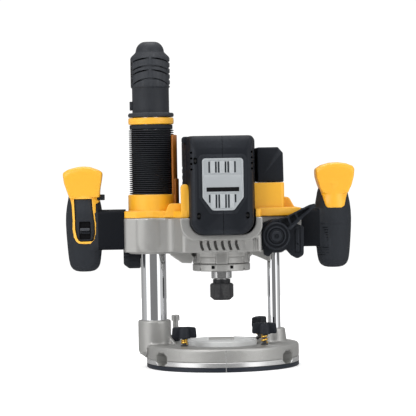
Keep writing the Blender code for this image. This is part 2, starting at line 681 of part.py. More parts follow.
def build_controller():
    add_solid("controller_board", box((-22, 22), (-58, -55.5), (168, 232)), BOARD_GREEN)


clear_scene()
CAST_METAL = make_material("cast_metal", (0.62, 0.62, 0.6), 0.45, 0.6)
PHENOLIC = make_material("phenolic", (0.02, 0.02, 0.022), 0.4)
CLEAR_PLASTIC = make_material("clear_plastic", (0.9, 0.92, 0.93), 0.1, alpha=0.35)
BLACK_PLASTIC = make_material("black_plastic", (0.03, 0.033, 0.04), 0.5)
GREY_PLASTIC = make_material("grey_plastic", (0.15, 0.155, 0.165), 0.5)
YELLOW_PLASTIC = make_material("yellow_plastic", (0.93, 0.5, 0.03), 0.4)
GRIP_RUBBER = make_material("grip_rubber", (0.03, 0.032, 0.037), 0.7)
RUBBER = make_material("bellows_rubber", (0.02, 0.022, 0.026), 0.6)
CHROME = make_material("chrome", (0.85, 0.86, 0.88), 0.08, 1.0)
STEEL = make_material("steel", (0.55, 0.55, 0.56), 0.3, 1.0)
BLACK_STEEL = make_material("black_steel", (0.05, 0.05, 0.055), 0.35, 0.8)
ZINC = make_material("zinc", (0.6, 0.6, 0.58), 0.35, 0.9)
BRONZE = make_material("bronze", (0.45, 0.3, 0.13), 0.4, 1.0)
SPRING_BRASS = make_material("spring_brass", (0.75, 0.55, 0.15), 0.3, 1.0)
BADGE_SILVER = make_material("badge_silver", (0.55, 0.57, 0.6), 0.35, 0.5)
BOARD_GREEN = make_material("board_green", (0.02, 0.15, 0.06), 0.5)

ROUTER = bpy.data.objects.new("router", None)
ROUTER.location = (SPINDLE_X * MM, 0, 0)
bpy.context.scene.collection.objects.link(ROUTER)

build_sole()
build_base_casting()
build_shroud()
build_clamp_knobs()
build_turret()
build_columns()
build_dust_outlet()
build_bellows()
build_plunge_spring()
build_head_casting()
build_nose_ring()
build_left_housing()
build_right_housing()
build_covers()
build_badge()
build_rear()
build_motor()
build_spindle_lock()
build_plunge_lock()
build_depth_stop()
build_left_handle()
build_right_handle()
build_controller()
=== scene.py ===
"""Looks of a cordless plunge router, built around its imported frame."""

import json
import math

import bmesh
import bpy
from bpy.props import FloatProperty, FloatVectorProperty, IntProperty, PointerProperty
from mathutils import Matrix, Vector


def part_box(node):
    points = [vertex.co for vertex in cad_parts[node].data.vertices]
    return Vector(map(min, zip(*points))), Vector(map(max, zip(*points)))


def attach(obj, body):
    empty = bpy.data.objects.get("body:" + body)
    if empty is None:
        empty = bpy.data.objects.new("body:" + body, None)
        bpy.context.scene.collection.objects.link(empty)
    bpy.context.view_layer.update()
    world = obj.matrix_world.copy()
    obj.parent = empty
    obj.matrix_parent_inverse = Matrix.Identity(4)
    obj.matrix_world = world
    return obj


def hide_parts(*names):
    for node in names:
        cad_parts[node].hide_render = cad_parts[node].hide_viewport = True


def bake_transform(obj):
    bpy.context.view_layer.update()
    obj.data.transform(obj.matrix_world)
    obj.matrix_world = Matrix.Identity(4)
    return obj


bl_info = {
    "name": "Plunge router looks",
    "version": (1, 0, 0),
    "blender": (4, 5, 0),
    "location": "View3D > Sidebar > Router",
    "description": "Builds the visible pieces, finishes and stage of a plunge router",
    "category": "Add Mesh",
}

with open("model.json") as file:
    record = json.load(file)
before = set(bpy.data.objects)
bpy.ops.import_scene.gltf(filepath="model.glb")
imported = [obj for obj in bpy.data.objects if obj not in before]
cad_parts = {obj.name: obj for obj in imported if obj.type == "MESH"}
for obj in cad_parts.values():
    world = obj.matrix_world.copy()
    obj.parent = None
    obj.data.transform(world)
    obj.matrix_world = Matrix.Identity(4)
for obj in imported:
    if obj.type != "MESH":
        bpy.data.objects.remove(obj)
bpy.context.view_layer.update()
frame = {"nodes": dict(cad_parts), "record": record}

MM = 0.001
TAU = 2 * math.pi


def middle(node):
    """Centre of a CAD node's box."""
    low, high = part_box(node)
    return (low + high) / 2


# Axes and levels read from the frame; lengths in this file are millimetres from the spindle's axis.
SPINDLE = middle("spindle_shaft")
LEFT_X = (middle("dust_column").x - SPINDLE.x) / MM
RIGHT_X = (middle("guide_column").x - SPINDLE.x) / MM
HUB_X = (middle("lock_bolt").x - SPINDLE.x) / MM
HUB_Z = middle("lock_bolt").z / MM
GRIP_LEFT_X, GRIP_RIGHT_X = -147.0, 121.5
ADAPTER_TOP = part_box("dust_adapter")[1].z / MM
FOLD_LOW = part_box("dust_bellows")[0].z / MM
FOLD_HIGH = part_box("dust_bellows")[1].z / MM
ORIGIN = (0, 0, 0)
LEFT_COLUMN, RIGHT_COLUMN = (LEFT_X, 0, 0), (RIGHT_X, 0, 0)
TURRET_X, TURRET_Y = -58, 38
DEPTH_ROD = (-66, 38, 0)
DEPTH_KNOB = (0, 38, 120)
DEPTH_KNOB_RADIUS = 15
# Name, x, y and underside of each wing knob.
CLAMPS = (("front_left", -42.5, -47, 33.7), ("front_right", 42.5, -47, 36.7), ("back_right", 42.5, 47, 36.7))
BACK_KNOB_TURN = 62
ROD_MOUTH_Y = (-47, 47)
BASE_RADIUS = 82.3
FINISH = {}
GROUPS = {}


def at(x, y, z):
    """A point in metres from millimetres measured from the spindle's axis."""
    return Vector((SPINDLE.x + x * MM, SPINDLE.y + y * MM, z * MM))


# ---------------------------------------------------------------- modelling helpers


def clear_selection():
    """Deselects everything."""
    bpy.ops.object.select_all(action="DESELECT")


def pick(piece):
    """Selects one piece alone and makes it active."""
    clear_selection()
    piece.select_set(True)
    bpy.context.view_layer.objects.active = piece


def outline(name, points, filled):
    """A closed outline: a circle of as many corners, set to its shape."""
    clear_selection()
    kind = "NGON" if filled else "NOTHING"
    bpy.ops.mesh.primitive_circle_add(vertices=len(points), radius=1, fill_type=kind, location=(0, 0, 0))
    piece = bpy.context.active_object
    piece.name = name
    for vertex, point in zip(piece.data.vertices, points):
        vertex.co = point
    return piece


def tidy_mesh():
    """In edit mode: merges doubles, drops loose edges and turns every face outwards."""
    bpy.ops.mesh.select_all(action="SELECT")
    bpy.ops.mesh.remove_doubles(threshold=2e-6)
    bpy.ops.mesh.delete_loose(use_verts=True, use_edges=True, use_faces=False)
    bpy.ops.mesh.select_all(action="SELECT")
    bpy.ops.mesh.normals_make_consistent(inside=False)
    bpy.ops.object.mode_set(mode="OBJECT")


AXES = {
    "Z": ((0, 0, 1), lambda c, r, h: at(c[0] + r, c[1], h)),
    "Y": ((0, 1, 0), lambda c, r, h: at(c[0] + r, h, c[2])),
    "X": ((1, 0, 0), lambda c, r, h: at(h, c[1] + r, c[2])),
}
PLANES = {
    "Z": lambda u, v, w: at(u, v, w),
    "Y": lambda u, v, w: at(u, w, v),
    "X": lambda u, v, w: at(w, u, v),
}


def turned(name, profile, centre=ORIGIN, axis="Z", steps=72):
    """Spins a closed profile of (radius, height) points about an axis through the centre."""
    direction, spot = AXES[axis]
    piece = outline(name, [spot(centre, r, h) for r, h in profile], False)
    bpy.ops.object.mode_set(mode="EDIT")
    bpy.ops.mesh.select_all(action="SELECT")
    bpy.ops.mesh.spin(steps=steps, angle=TAU, center=at(*centre), axis=direction)
    tidy_mesh()
    return piece


def tube(name, outer, inner, low, high, centre=ORIGIN, axis="Z", steps=72, edge=0.4):
    """A straight ring with its four rims chamfered."""
    profile = [
        (inner, low + edge), (inner + edge, low), (outer - edge, low), (outer, low + edge),
        (outer, high - edge), (outer - edge, high), (inner + edge, high), (inner, high - edge),
    ]
    return turned(name, profile, centre, axis, steps)


def rod(name, radius, low, high, centre=ORIGIN, axis="Z", steps=48, edge=0.3):
    """A straight bar with both ends chamfered."""
    profile = [
        (0, low), (radius - edge, low), (radius, low + edge), (radius, high - edge), (radius - edge, high),
        (0, high),
    ]
    return turned(name, profile, centre, axis, steps)


def rounded(corners, steps=8):
    """An outline of (u, v, radius) corners, each one rounded by an arc."""
    points = []
    for i, (u, v, radius) in enumerate(corners):
        corner = Vector((u, v))
        if radius <= 0:
            points.append((u, v))
            continue
        back = (Vector(corners[i - 1][:2]) - corner).normalized()
        ahead = (Vector(corners[(i + 1) % len(corners)][:2]) - corner).normalized()
        half = back.angle(ahead) / 2
        centre = corner + (back + ahead).normalized() * radius / math.sin(half)
        first = corner + back * radius / math.tan(half) - centre
        last = corner + ahead * radius / math.tan(half) - centre
        sweep = first.angle_signed(last)
        for step in range(steps + 1):
            spun = Matrix.Rotation(-sweep * step / steps, 2) @ first
            points.append(tuple(centre + spun))
    return points


def round_points(count, radius, u=0, v=0):
    """Evenly spaced points on a circle."""
    return [
        (u + radius * math.cos(TAU * k / count), v + radius * math.sin(TAU * k / count))
        for k in range(count)
    ]


def rectangle(u0, u1, v0, v1, radius):
    """Corners of a rectangle, all with one radius."""
    return [(u0, v0, radius), (u1, v0, radius), (u1, v1, radius), (u0, v1, radius)]


def slab(name, points, low, high, axis="Z"):
    """An outline extruded along an axis: (x, y) along Z, (x, z) along Y, (y, z) along X."""
    order = PLANES[axis]
    piece = outline(name, [order(u, v, low) for u, v in points], True)
    travel = order(0, 0, high) - order(0, 0, low)
    bpy.ops.object.mode_set(mode="EDIT")
    bpy.ops.mesh.select_all(action="SELECT")
    bpy.ops.mesh.extrude_region_move(TRANSFORM_OT_translate={"value": travel})
    tidy_mesh()
    return piece


def block(name, x, y, z):
    """A cube set to its size and place, for cutting and joining."""
    clear_selection()
    bpy.ops.mesh.primitive_cube_add(size=1, location=(0, 0, 0))
    piece = bpy.context.active_object
    piece.name = name
    low, high = at(x[0], y[0], z[0]), at(x[1], y[1], z[1])
    for vertex in piece.data.vertices:
        vertex.co = [low[i] if vertex.co[i] < 0 else high[i] for i in range(3)]
    return piece


def lofted(name, sections):
    """A filled first section, extruded once to each of the next; all have as many points."""
    piece = outline(name, sections[0], True)
    bpy.ops.object.mode_set(mode="EDIT")
    bpy.ops.mesh.select_all(action="SELECT")
    mesh = bmesh.from_edit_mesh(piece.data)
    current = list(mesh.verts)
    for section in sections[1:]:
        before = [vert.co.copy() for vert in current]
        bpy.ops.mesh.extrude_region_move(TRANSFORM_OT_translate={"value": (0, 0, 0)})
        mesh = bmesh.from_edit_mesh(piece.data)
        top = [vert for vert in mesh.verts if vert.select]
        current = [min(top, key=lambda vert, spot=spot: (vert.co - spot).length_squared) for spot in before]
        for vert, point in zip(current, section):
            vert.co = point
        bmesh.update_edit_mesh(piece.data)
    tidy_mesh()
    return piece


def apply_modifier(piece, kind, **values):
    """Adds a modifier with its values and applies it."""
    pick(piece)
    modifier = piece.modifiers.new(kind.title(), kind)
    for key, value in values.items():
        setattr(modifier, key, value)
    bpy.ops.object.modifier_apply(modifier=modifier.name)
    return piece


def boolean(piece, others, operation):
    """Cuts, joins or intersects a piece with the others, which are used up."""
    for other in others:
        apply_modifier(piece, "BOOLEAN", operation=operation, object=other, solver="EXACT")
        bpy.data.objects.remove(other, do_unlink=True)
    return piece


def cut(piece, *cutters):
    """Takes the cutters away from a piece."""
    return boolean(piece, cutters, "DIFFERENCE")


def join(piece, *others):
    """Makes one shape of a piece and the others."""
    return boolean(piece, others, "UNION")


def soften(piece, width, segments=3, angle=32):
    """Rounds every edge sharper than the angle."""
    return apply_modifier(
        piece, "BEVEL", width=width * MM, segments=segments, limit_method="ANGLE",
        angle_limit=math.radians(angle), harden_normals=False,
    )


def cast_over(piece, voxel=1.1, rounds=8):
    """Runs the joined shapes into one skin with soft fillets, as a casting or overmould has."""
    apply_modifier(piece, "REMESH", mode="VOXEL", voxel_size=voxel * MM, use_smooth_shade=True)
    return apply_modifier(piece, "SMOOTH", factor=0.5, iterations=rounds)


def shade(piece, angle=35):
    """Smooths the faces that meet at less than the angle."""
    pick(piece)
    bpy.ops.object.shade_smooth_by_angle(angle=math.radians(angle))
    return piece


def finish(piece, finish_name, body, nodes=(), angle=35):
    """Shades a piece, gives it its finish and sets the body it rides on."""
    shade(piece, angle)
    piece.data.materials.clear()
    piece.data.materials.append(FINISH[finish_name])
    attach(piece, body)
    for node in nodes:
        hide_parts(node)
    return piece


def copy_of(piece, name):
    """A copy with its own mesh."""
    pick(piece)
    bpy.ops.object.duplicate()
    twin = bpy.context.active_object
    twin.name = name
    return twin


def turn_mesh(piece, angle, centre=ORIGIN):
    """Turns a piece's mesh about the upright line through the centre."""
    spot = at(*centre)
    turn = Matrix.Rotation(angle, 4, "Z")
    piece.data.transform(Matrix.Translation(spot) @ turn @ Matrix.Translation(-spot))
    return piece


# ---------------------------------------------------------------- finishes

SLOTS = {
    "cast": "cast_aluminium", "painted_shade_cast": "cast_aluminium", "band": "cast_aluminium", "sole": "phenolic",
    "clear": "clear_plastic", "black": "black_plastic", "grey": "grey_plastic", "yellow": "yellow_plastic",
    "grip": "grip_rubber", "bellows": "bellows_rubber", "chrome": "chrome", "steel": "steel",
    "dark_steel": "black_steel", "zinc": "zinc", "bronze": "bronze", "gold": "spring_brass",
    "silver": "badge_silver", "board": "board_green", "dark": "black_plastic", "neck": "grip_rubber",
    "painted_shade_yellow": "yellow_plastic", "hose": "black_plastic",
}


def new_group(name, inputs, outputs):
    """An empty shader group with its named sockets; gives the tree, its input node and its output node."""
    tree = bpy.data.node_groups.new(name, "ShaderNodeTree")
    for direction, sockets in (("INPUT", inputs), ("OUTPUT", outputs)):
        for label, kind, default in sockets:
            socket = tree.interface.new_socket(label, in_out=direction, socket_type=f"NodeSocket{kind}")
            if default is not None:
                socket.default_value = default
    return tree, tree.nodes.new("NodeGroupInput"), tree.nodes.new("NodeGroupOutput")


def math_node(tree, operation, first, second):
    """A sum of two values or sockets."""
    node = tree.nodes.new("ShaderNodeMath")
    node.operation = operation
    for socket, value in zip(node.inputs, (first, second)):
        if isinstance(value, (int, float)):
            socket.default_value = value
        else:
            tree.links.new(value, socket)
    return node.outputs[0]


def noise_node(tree, vector, scale, detail=4.0, roughness=0.6):
    """Noise over the piece, at a set scale or one that comes from a socket."""
    node = tree.nodes.new("ShaderNodeTexNoise")
    node.inputs["Detail"].default_value = detail
    node.inputs["Roughness"].default_value = roughness
    tree.links.new(vector, node.inputs["Vector"])
    if isinstance(scale, (int, float)):
        node.inputs["Scale"].default_value = scale
    else:
        tree.links.new(scale, node.inputs["Scale"])
    return node.outputs["Fac"]


def grain_group():
    """Fine moulded or cast texture with a slow drift of tone and gloss."""
    tree, source, sink = new_group("surface_grain", [
        ("Colour", "Color", (0.5, 0.5, 0.5, 1)), ("Roughness", "Float", 0.5),
        ("Grain Scale", "Float", 1500.0), ("Drift", "Float", 0.15), ("Gloss Drift", "Float", 0.15),
    ], [("Colour", "Color", None), ("Roughness", "Float", None), ("Height", "Float", None)])
    place = tree.nodes.new("ShaderNodeTexCoord").outputs["Object"]
    fine = noise_node(tree, place, source.outputs["Grain Scale"])
    slow = noise_node(tree, place, 22.0, 3.0)
    blotch = noise_node(tree, place, 160.0, 4.0)
    both = math_node(tree, "ADD", slow, blotch)
    swing = math_node(tree, "MULTIPLY", math_node(tree, "SUBTRACT", both, 1.0), source.outputs["Drift"])
    tone = tree.nodes.new("ShaderNodeHueSaturation")
    tree.links.new(math_node(tree, "ADD", swing, 1.0), tone.inputs["Value"])
    tree.links.new(source.outputs["Colour"], tone.inputs["Color"])
    gloss = math_node(
        tree, "MULTIPLY", math_node(tree, "SUBTRACT", blotch, 0.5), source.outputs["Gloss Drift"],
    )
    tree.links.new(tone.outputs["Color"], sink.inputs["Colour"])
    tree.links.new(math_node(tree, "ADD", source.outputs["Roughness"], gloss), sink.inputs["Roughness"])
    tree.links.new(fine, sink.inputs["Height"])
    return tree


def wear_group():
    """Rubbed edges: a mask from how sharply the surface bends, broken up by scuffs."""
    tree, source, sink = new_group("edge_wear", [
        ("Colour", "Color", (0.5, 0.5, 0.5, 1)), ("Worn Colour", "Color", (0.8, 0.8, 0.8, 1)),
        ("Wear", "Float", 0.3),
    ], [("Colour", "Color", None), ("Mask", "Float", None)])
    place = tree.nodes.new("ShaderNodeTexCoord").outputs["Object"]
    bend = tree.nodes.new("ShaderNodeNewGeometry").outputs["Pointiness"]
    scuff = noise_node(tree, place, 420.0, 5.0)
    edge = tree.nodes.new("ShaderNodeMapRange")
    for label, value in (("From Min", 0.515), ("From Max", 0.58)):
        edge.inputs[label].default_value = value
    tree.links.new(bend, edge.inputs["Value"])
    mask = math_node(
        tree, "MULTIPLY", edge.outputs["Result"], math_node(tree, "MULTIPLY", scuff, source.outputs["Wear"]),
    )
    blend = tree.nodes.new("ShaderNodeMix")
    blend.data_type = "RGBA"
    tree.links.new(mask, blend.inputs["Factor"])
    tree.links.new(source.outputs["Colour"], blend.inputs["A"])
    tree.links.new(source.outputs["Worn Colour"], blend.inputs["B"])
    tree.links.new(blend.outputs["Result"], sink.inputs["Colour"])
    tree.links.new(mask, sink.inputs["Mask"])
    return tree


def brush_group():
    """Fine turned or drawn lines across one axis of the piece."""
    tree, source, sink = new_group(
        "brushed_lines",
        [("Stretch", "Vector", (1.0, 1.0, 1.0)), ("Roughness", "Float", 0.2), ("Amount", "Float", 0.1)],
        [("Roughness", "Float", None), ("Height", "Float", None)],
    )
    place = tree.nodes.new("ShaderNodeTexCoord").outputs["Object"]
    stretched = tree.nodes.new("ShaderNodeVectorMath")
    stretched.operation = "MULTIPLY"
    tree.links.new(place, stretched.inputs[0])
    tree.links.new(source.outputs["Stretch"], stretched.inputs[1])
    lines = noise_node(tree, stretched.outputs["Vector"], 60.0, 6.0, 0.7)
    swing = math_node(tree, "MULTIPLY", math_node(tree, "SUBTRACT", lines, 0.5), source.outputs["Amount"])
    tree.links.new(math_node(tree, "ADD", source.outputs["Roughness"], swing), sink.inputs["Roughness"])
    tree.links.new(lines, sink.inputs["Height"])
    return tree


def add_group(tree, group, **values):
    """Places a shader group in a material with its own values."""
    node = tree.nodes.new("ShaderNodeGroup")
    node.node_tree = group
    for label, value in values.items():
        node.inputs[label.replace("_", " ")].default_value = value
    return node


def make_finish(name, colour, roughness, metallic=0.0, grain=1500.0, depth=0.05, drift=0.15, gloss=0.15,
                worn=None, wear=0.0, coat=0.0, lines=None, shine=0.5):
    """One material: grain for tone and gloss, worn edges, and turned lines where asked."""
    material = bpy.data.materials.new(name)
    material.use_nodes = True
    tree = material.node_tree
    shader = tree.nodes["Principled BSDF"]
    shader.inputs["Metallic"].default_value = metallic
    shader.inputs["Coat Weight"].default_value = coat
    shader.inputs["Coat Roughness"].default_value = 0.25
    shader.inputs["Specular IOR Level"].default_value = shine
    grained = add_group(tree, GROUPS["grain"], Colour=(*colour, 1), Roughness=roughness, Grain_Scale=grain,
                        Drift=drift, Gloss_Drift=gloss)
    worn_edges = add_group(tree, GROUPS["wear"], Worn_Colour=(*(worn or colour), 1), Wear=wear)
    tree.links.new(grained.outputs["Colour"], worn_edges.inputs["Colour"])
    tree.links.new(worn_edges.outputs["Colour"], shader.inputs["Base Color"])
    tree.links.new(grained.outputs["Roughness"], shader.inputs["Roughness"])
    height = grained.outputs["Height"]
    if lines:
        brushed = add_group(tree, GROUPS["brush"], Stretch=lines, Roughness=roughness, Amount=0.25)
        tree.links.new(brushed.outputs["Roughness"], shader.inputs["Roughness"])
        height = brushed.outputs["Height"]
    bump = tree.nodes.new("ShaderNodeBump")
    bump.inputs["Strength"].default_value = min(1.0, depth * 4)
    bump.inputs["Distance"].default_value = depth * MM * 2
    tree.links.new(height, bump.inputs["Height"])
    tree.links.new(bump.outputs["Normal"], shader.inputs["Normal"])
    FINISH[name] = material
    return shader


def make_finishes(colours):
    """Every finish: colour, roughness, metallic, grain, depth, drift, gloss, worn colour and wear."""
    GROUPS.update(grain=grain_group(), wear=wear_group(), brush=brush_group())
    pale = (0.75, 0.75, 0.73)
    make_finish("cast", colours.cast, 0.42, 0.62, 1100, 0.10, 0.10, 0.2, pale, 0.5)
    # Painted shade: a darker copy of the cast finish for the rod mouths.
    make_finish("painted_shade_cast", colours.painted_shade_cast, 0.5, 0.4, 1100, 0.10, 0.10, 0.2, pale, 0.4)
    make_finish("band", colours.band, 0.3, 0.9, 900, 0.02, 0.05, lines=(0.2, 0.2, 60.0))
    make_finish("sole", colours.sole, 0.42, 0.0, 1800, 0.04, 0.2, shine=0.35)
    make_finish(
        "black", colours.black, 0.55, 0.0, 1700, 0.09, 0.18, 0.2, (0.05, 0.055, 0.065), 0.5, shine=0.22,
    )
    # Painted shade: a darker copy of the grip rubber for the handle necks.
    make_finish("neck", colours.neck, 0.6, 0.0, 1700, 0.07, 0.15, 0.15, shine=0.15)
    make_finish("dark", (0.006, 0.006, 0.007), 0.8, 0.0, 900, 0.05, 0.1, shine=0.1)
    make_finish("grey", colours.grey, 0.5, 0.0, 1700, 0.06, 0.15, 0.15, (0.3, 0.3, 0.32), 0.4, shine=0.3)
    make_finish(
        "yellow", colours.yellow, 0.36, 0.0, 1300, 0.035, 0.05, 0.12, (1.0, 0.7, 0.2), 0.25, coat=0.15,
    )
    # Painted shade: a darker copy of the yellow plastic for the guard beside the bellows.
    make_finish("painted_shade_yellow", colours.painted_shade_yellow, 0.4, 0.0, 1300, 0.035, 0.05, 0.12, coat=0.1)
    make_finish("hose", colours.hose, 0.5, 0.0, 1700, 0.09, 0.18, 0.2, (0.07, 0.075, 0.085), 0.5, shine=0.3)
    make_finish("grip", colours.grip, 0.66, 0.0, 2300, 0.12, 0.15, 0.15, (0.055, 0.06, 0.07), 0.3, shine=0.25)
    make_finish(
        "bellows", colours.bellows, 0.55, 0.0, 1900, 0.06, 0.2, 0.2, (0.05, 0.055, 0.065), 0.6, shine=0.3,
    )
    make_finish("chrome", colours.chrome, 0.06, 1.0, 700, 0.001, 0.03, 0.02)
    make_finish("steel", colours.steel, 0.28, 1.0, 900, 0.03, 0.08, lines=(0.3, 0.3, 40.0))
    make_finish(
        "dark_steel", colours.dark_steel, 0.42, 0.2, 1400, 0.04, 0.2, 0.2, (0.2, 0.2, 0.2), 0.4, shine=0.4,
    )
    make_finish("zinc", colours.zinc, 0.42, 0.5, 1100, 0.03, 0.12, lines=(8.0, 8.0, 20.0))
    make_finish("bronze", (0.5, 0.33, 0.15), 0.4, 1.0, 1500, 0.05, 0.15)
    make_finish("gold", (0.9, 0.55, 0.1), 0.28, 0.9, 1200, 0.02, 0.1)
    make_finish(
        "silver", colours.silver, 0.36, 0.35, 1300, 0.03, 0.06, 0.12, (0.8, 0.82, 0.84), 0.4, coat=0.1,
    )
    make_finish("board", (0.02, 0.16, 0.07), 0.45, 0.0, 700, 0.05, 0.3)
    clear = make_finish("clear", (0.95, 0.96, 0.96), 0.12, 0.0, 600, 0.01, 0.02)
    clear.inputs["Transmission Weight"].default_value = 0.35
    clear.inputs["IOR"].default_value = 1.45


# ---------------------------------------------------------------- settings


def colour(name, default, text):
    """A colour setting."""
    return FloatVectorProperty(
        name=name, description=text, default=default, size=3, min=0, max=1, subtype="COLOR",
    )


class RouterColours(bpy.types.PropertyGroup):
    cast: colour("Cast aluminium", (0.40, 0.397, 0.385), "Unpainted cast metal")
    # Painted shade: cast aluminium darkened for the rod mouths, in place of the shade inside them.
    painted_shade_cast: colour("Rod mouths", (0.2, 0.2, 0.19), "Darker cast metal of the rod channels")
    band: colour("Machined band", (0.8, 0.8, 0.8), "Bright turned rim of the base")
    sole: colour("Sole", (0.012, 0.016, 0.026), "Phenolic sole plate")
    black: colour("Charcoal plastic", (0.0068, 0.0088, 0.0132), "Housings, knobs and levers")
    # Painted shade: the grip rubber darkened on the necks, in place of the shade there.
    neck: colour("Handle necks", (0.0042, 0.0055, 0.0085), "Smooth necks between casting and grips")
    grey: colour("Grey plastic", (0.035, 0.039, 0.047), "Dial, slider and motor sleeve")
    yellow: colour("Yellow plastic", (0.83, 0.41, 0.018), "Upper housings, crowns and bezel")
    # Painted shade: the yellow plastic darkened for the guard, in place of the shade it stands in.
    painted_shade_yellow: colour("Shaded yellow", (0.36, 0.115, 0.008), "Thin guard beside the bellows")
    hose: colour("Hose adapter", (0.021, 0.0235, 0.029), "Dust adapter on the wide column")
    grip: colour("Grip rubber", (0.0165, 0.0195, 0.025), "Soft overmould of the handles")
    bellows: colour("Bellows rubber", (0.0062, 0.0074, 0.0105), "Folded dust bellows")
    chrome: colour("Chrome", (0.86, 0.87, 0.89), "Polished columns")
    steel: colour("Steel", (0.6, 0.6, 0.6), "Bare steel")
    dark_steel: colour("Blackened steel", (0.014, 0.0145, 0.017), "Collet nut")
    zinc: colour("Zinc plate", (0.5, 0.5, 0.49), "Stop screws")
    silver: colour("Badge", (0.42, 0.445, 0.465), "Silver front grille")


class RouterSizes(bpy.types.PropertyGroup):
    folds: IntProperty(name="Folds", description="Folds of the dust bellows", default=32, min=8, max=60)
    fold_depth: FloatProperty(
        name="Fold depth", description="How deep each fold of the bellows is", default=0.0034, min=0.001,
        max=0.006, subtype="DISTANCE", unit="LENGTH",
    )
    slots: IntProperty(
        name="Air slots", description="Curved air slots in the front of the casting", default=7, min=3, max=9,
    )


def sizes():
    """The scene's size settings."""
    return bpy.context.scene.router_sizes


# ---------------------------------------------------------------- base


class BuildBase(bpy.types.Operator):
    """Ring-shaped base casting with its two column bosses, machined rim and sole"""

    bl_idname = "router.build_base"
    bl_label = "Base casting and sole"

    def execute(self, context):
        rim = BASE_RADIUS
        ring = turned("base_casting_skin", [
            (37.5, 10), (rim, 10), (rim, 22.8), (rim - 0.5, 23.9), (rim - 1.7, 24.5),
            (60, 24.5), (57, 23.3), (40, 23.3), (37.5, 22.5),
        ], steps=144)
        left = turned("boss", [
            (0, 10.5), (10.8, 10.5), (17.8, 17.5), (17.8, 49.8), (16.8, 51), (0, 51),
        ], LEFT_COLUMN)
        right = turned("boss", [
            (0, 12), (16, 12), (16, 22), (13, 26), (11.5, 39.4), (11, 40), (0, 40),
        ], RIGHT_COLUMN)
        extras = [left, right]
        for _, x, y, _ in CLAMPS:
            extras.append(turned("pad", [(0, 20), (8, 20), (8, 23.6), (6.5, 25.5), (0, 25.5)], (x, y, 0)))
        extras.append(turned("pad", [
            (0, 20), (15.5, 20), (15.5, 23.5), (14.5, 24.6), (0, 24.6),
        ], (TURRET_X, TURRET_Y, 0)))
        # The web runs from the left boss down to the ring.
        extras.append(slab("web", [
            (-90, 14), (-58, 14), (-50, 20), (-52, 27), (-58, 34), (-88, 34),
        ], -9, 9, "Y"))
        join(ring, *extras)
        cut(
            ring,
            turned("bore", [(0, 21), (13.8, 21), (13.8, 60), (0, 60)], LEFT_COLUMN),
            turned("bore", [(0, 8), (6.9, 8), (6.9, 60), (0, 60)], RIGHT_COLUMN),
            turned("bore", [(0, 5), (38.1, 5), (38.1, 60), (0, 60)], steps=96),
        )
        cast_over(ring, 1.15, 7)
        # Fine turned lines round the side of the ring.
        for k in range(10):
            low = 11 + 1.15 * k
            cut(ring, turned("line", [
                (rim - 0.14, low), (rim + 1, low - 0.3), (rim + 1, low + 0.5), (rim - 0.14, low + 0.24),
            ], steps=144))
        band = turned("base_machined_rim", [
            (37.5, 4.8), (rim - 0.5, 4.8), (rim, 5.3), (rim, 9.6), (rim - 0.35, 10), (37.5, 10),
        ], steps=144)
        # Octagonal mouths of the two fence-rod channels, lined with cast aluminium darkened as painted shade,
        # and the pointer line at the front.
        liners = []
        for side in (-1, 1):
            for y in ROD_MOUTH_Y:
                for piece in (ring, band):
                    cut(piece, slab("mouth", octagon(y, 12, 8.3, 7.9), side * 58, side * 90, "X"))
                liner = slab("fence_rod_mouth", octagon(y, 12, 8.1, 7.7), side * 58.2, side * 84, "X")
                boolean(liner, [rod("hug", rim - 0.35, 4.9, 22, ORIGIN, "Z", 144)], "INTERSECT")
                cut(liner, slab("mouth", octagon(y, 12, 7.1, 6.7), side * 61, side * 90, "X"))
                liners.append(liner)
        for liner, y in zip(liners, ROD_MOUTH_Y * 2):
            cut(liner, rod("channel", 4.25, -64, 64, (0, y, 11), "X"))
            finish(liner, "painted_shade_cast", "base")
        for y in ROD_MOUTH_Y:
            for piece in (ring, band):
                cut(piece, rod("channel", 4.25, -64, 64, (0, y, 11), "X"))
        for piece in (ring, band):
            cut(piece, rod("pointer", 0.6, 2, 30, (0, -rim - 0.1, 0), "Z", 16, 0.1))
        finish(ring, "cast", "base", ["base_casting"], 50)
        finish(rod("pointer_mark", 0.45, 0.6, 23.4, (0, -rim + 0.5, 0), "Z", 16, 0.1), "steel", "base")
        finish(band, "band", "base", ["base_casting"])

        sole = turned("sole_plate_skin", [
            (31, 0.5), (31.5, 0), (rim - 1, 0), (rim - 0.1, 0.8), (rim - 0.1, 4), (rim - 0.6, 4.5),
            (31.5, 4.5), (31, 4),
        ], steps=144)
        cut(sole, slab("notch", [(-1.5, -84), (1.5, -84), (0.3, -81.2), (-0.3, -81.2)], -1, 6))
        for x, y in ((-48, -28), (48, -28), (48, 28), (-48, 28)):
            cut(sole, turned("sink", [
                (0, -1), (4.6, -1), (4.6, 0.6), (2.4, 2.6), (2.4, 4), (0, 4),
            ], (x, y, 0), steps=32))
        finish(sole, "sole", "base", ["sole_plate"])
        return {"FINISHED"}


def octagon(u, v, half_u, half_v):
    """Eight-cornered outline of a rod mouth."""
    short = 0.45
    return [
        (u + half_u * c, v + half_v * s)
        for c, s in (
            (-1, -short), (-short, -1), (short, -1), (1, -short), (1, short), (short, 1), (-short, 1),
            (-1, short),
        )
    ]


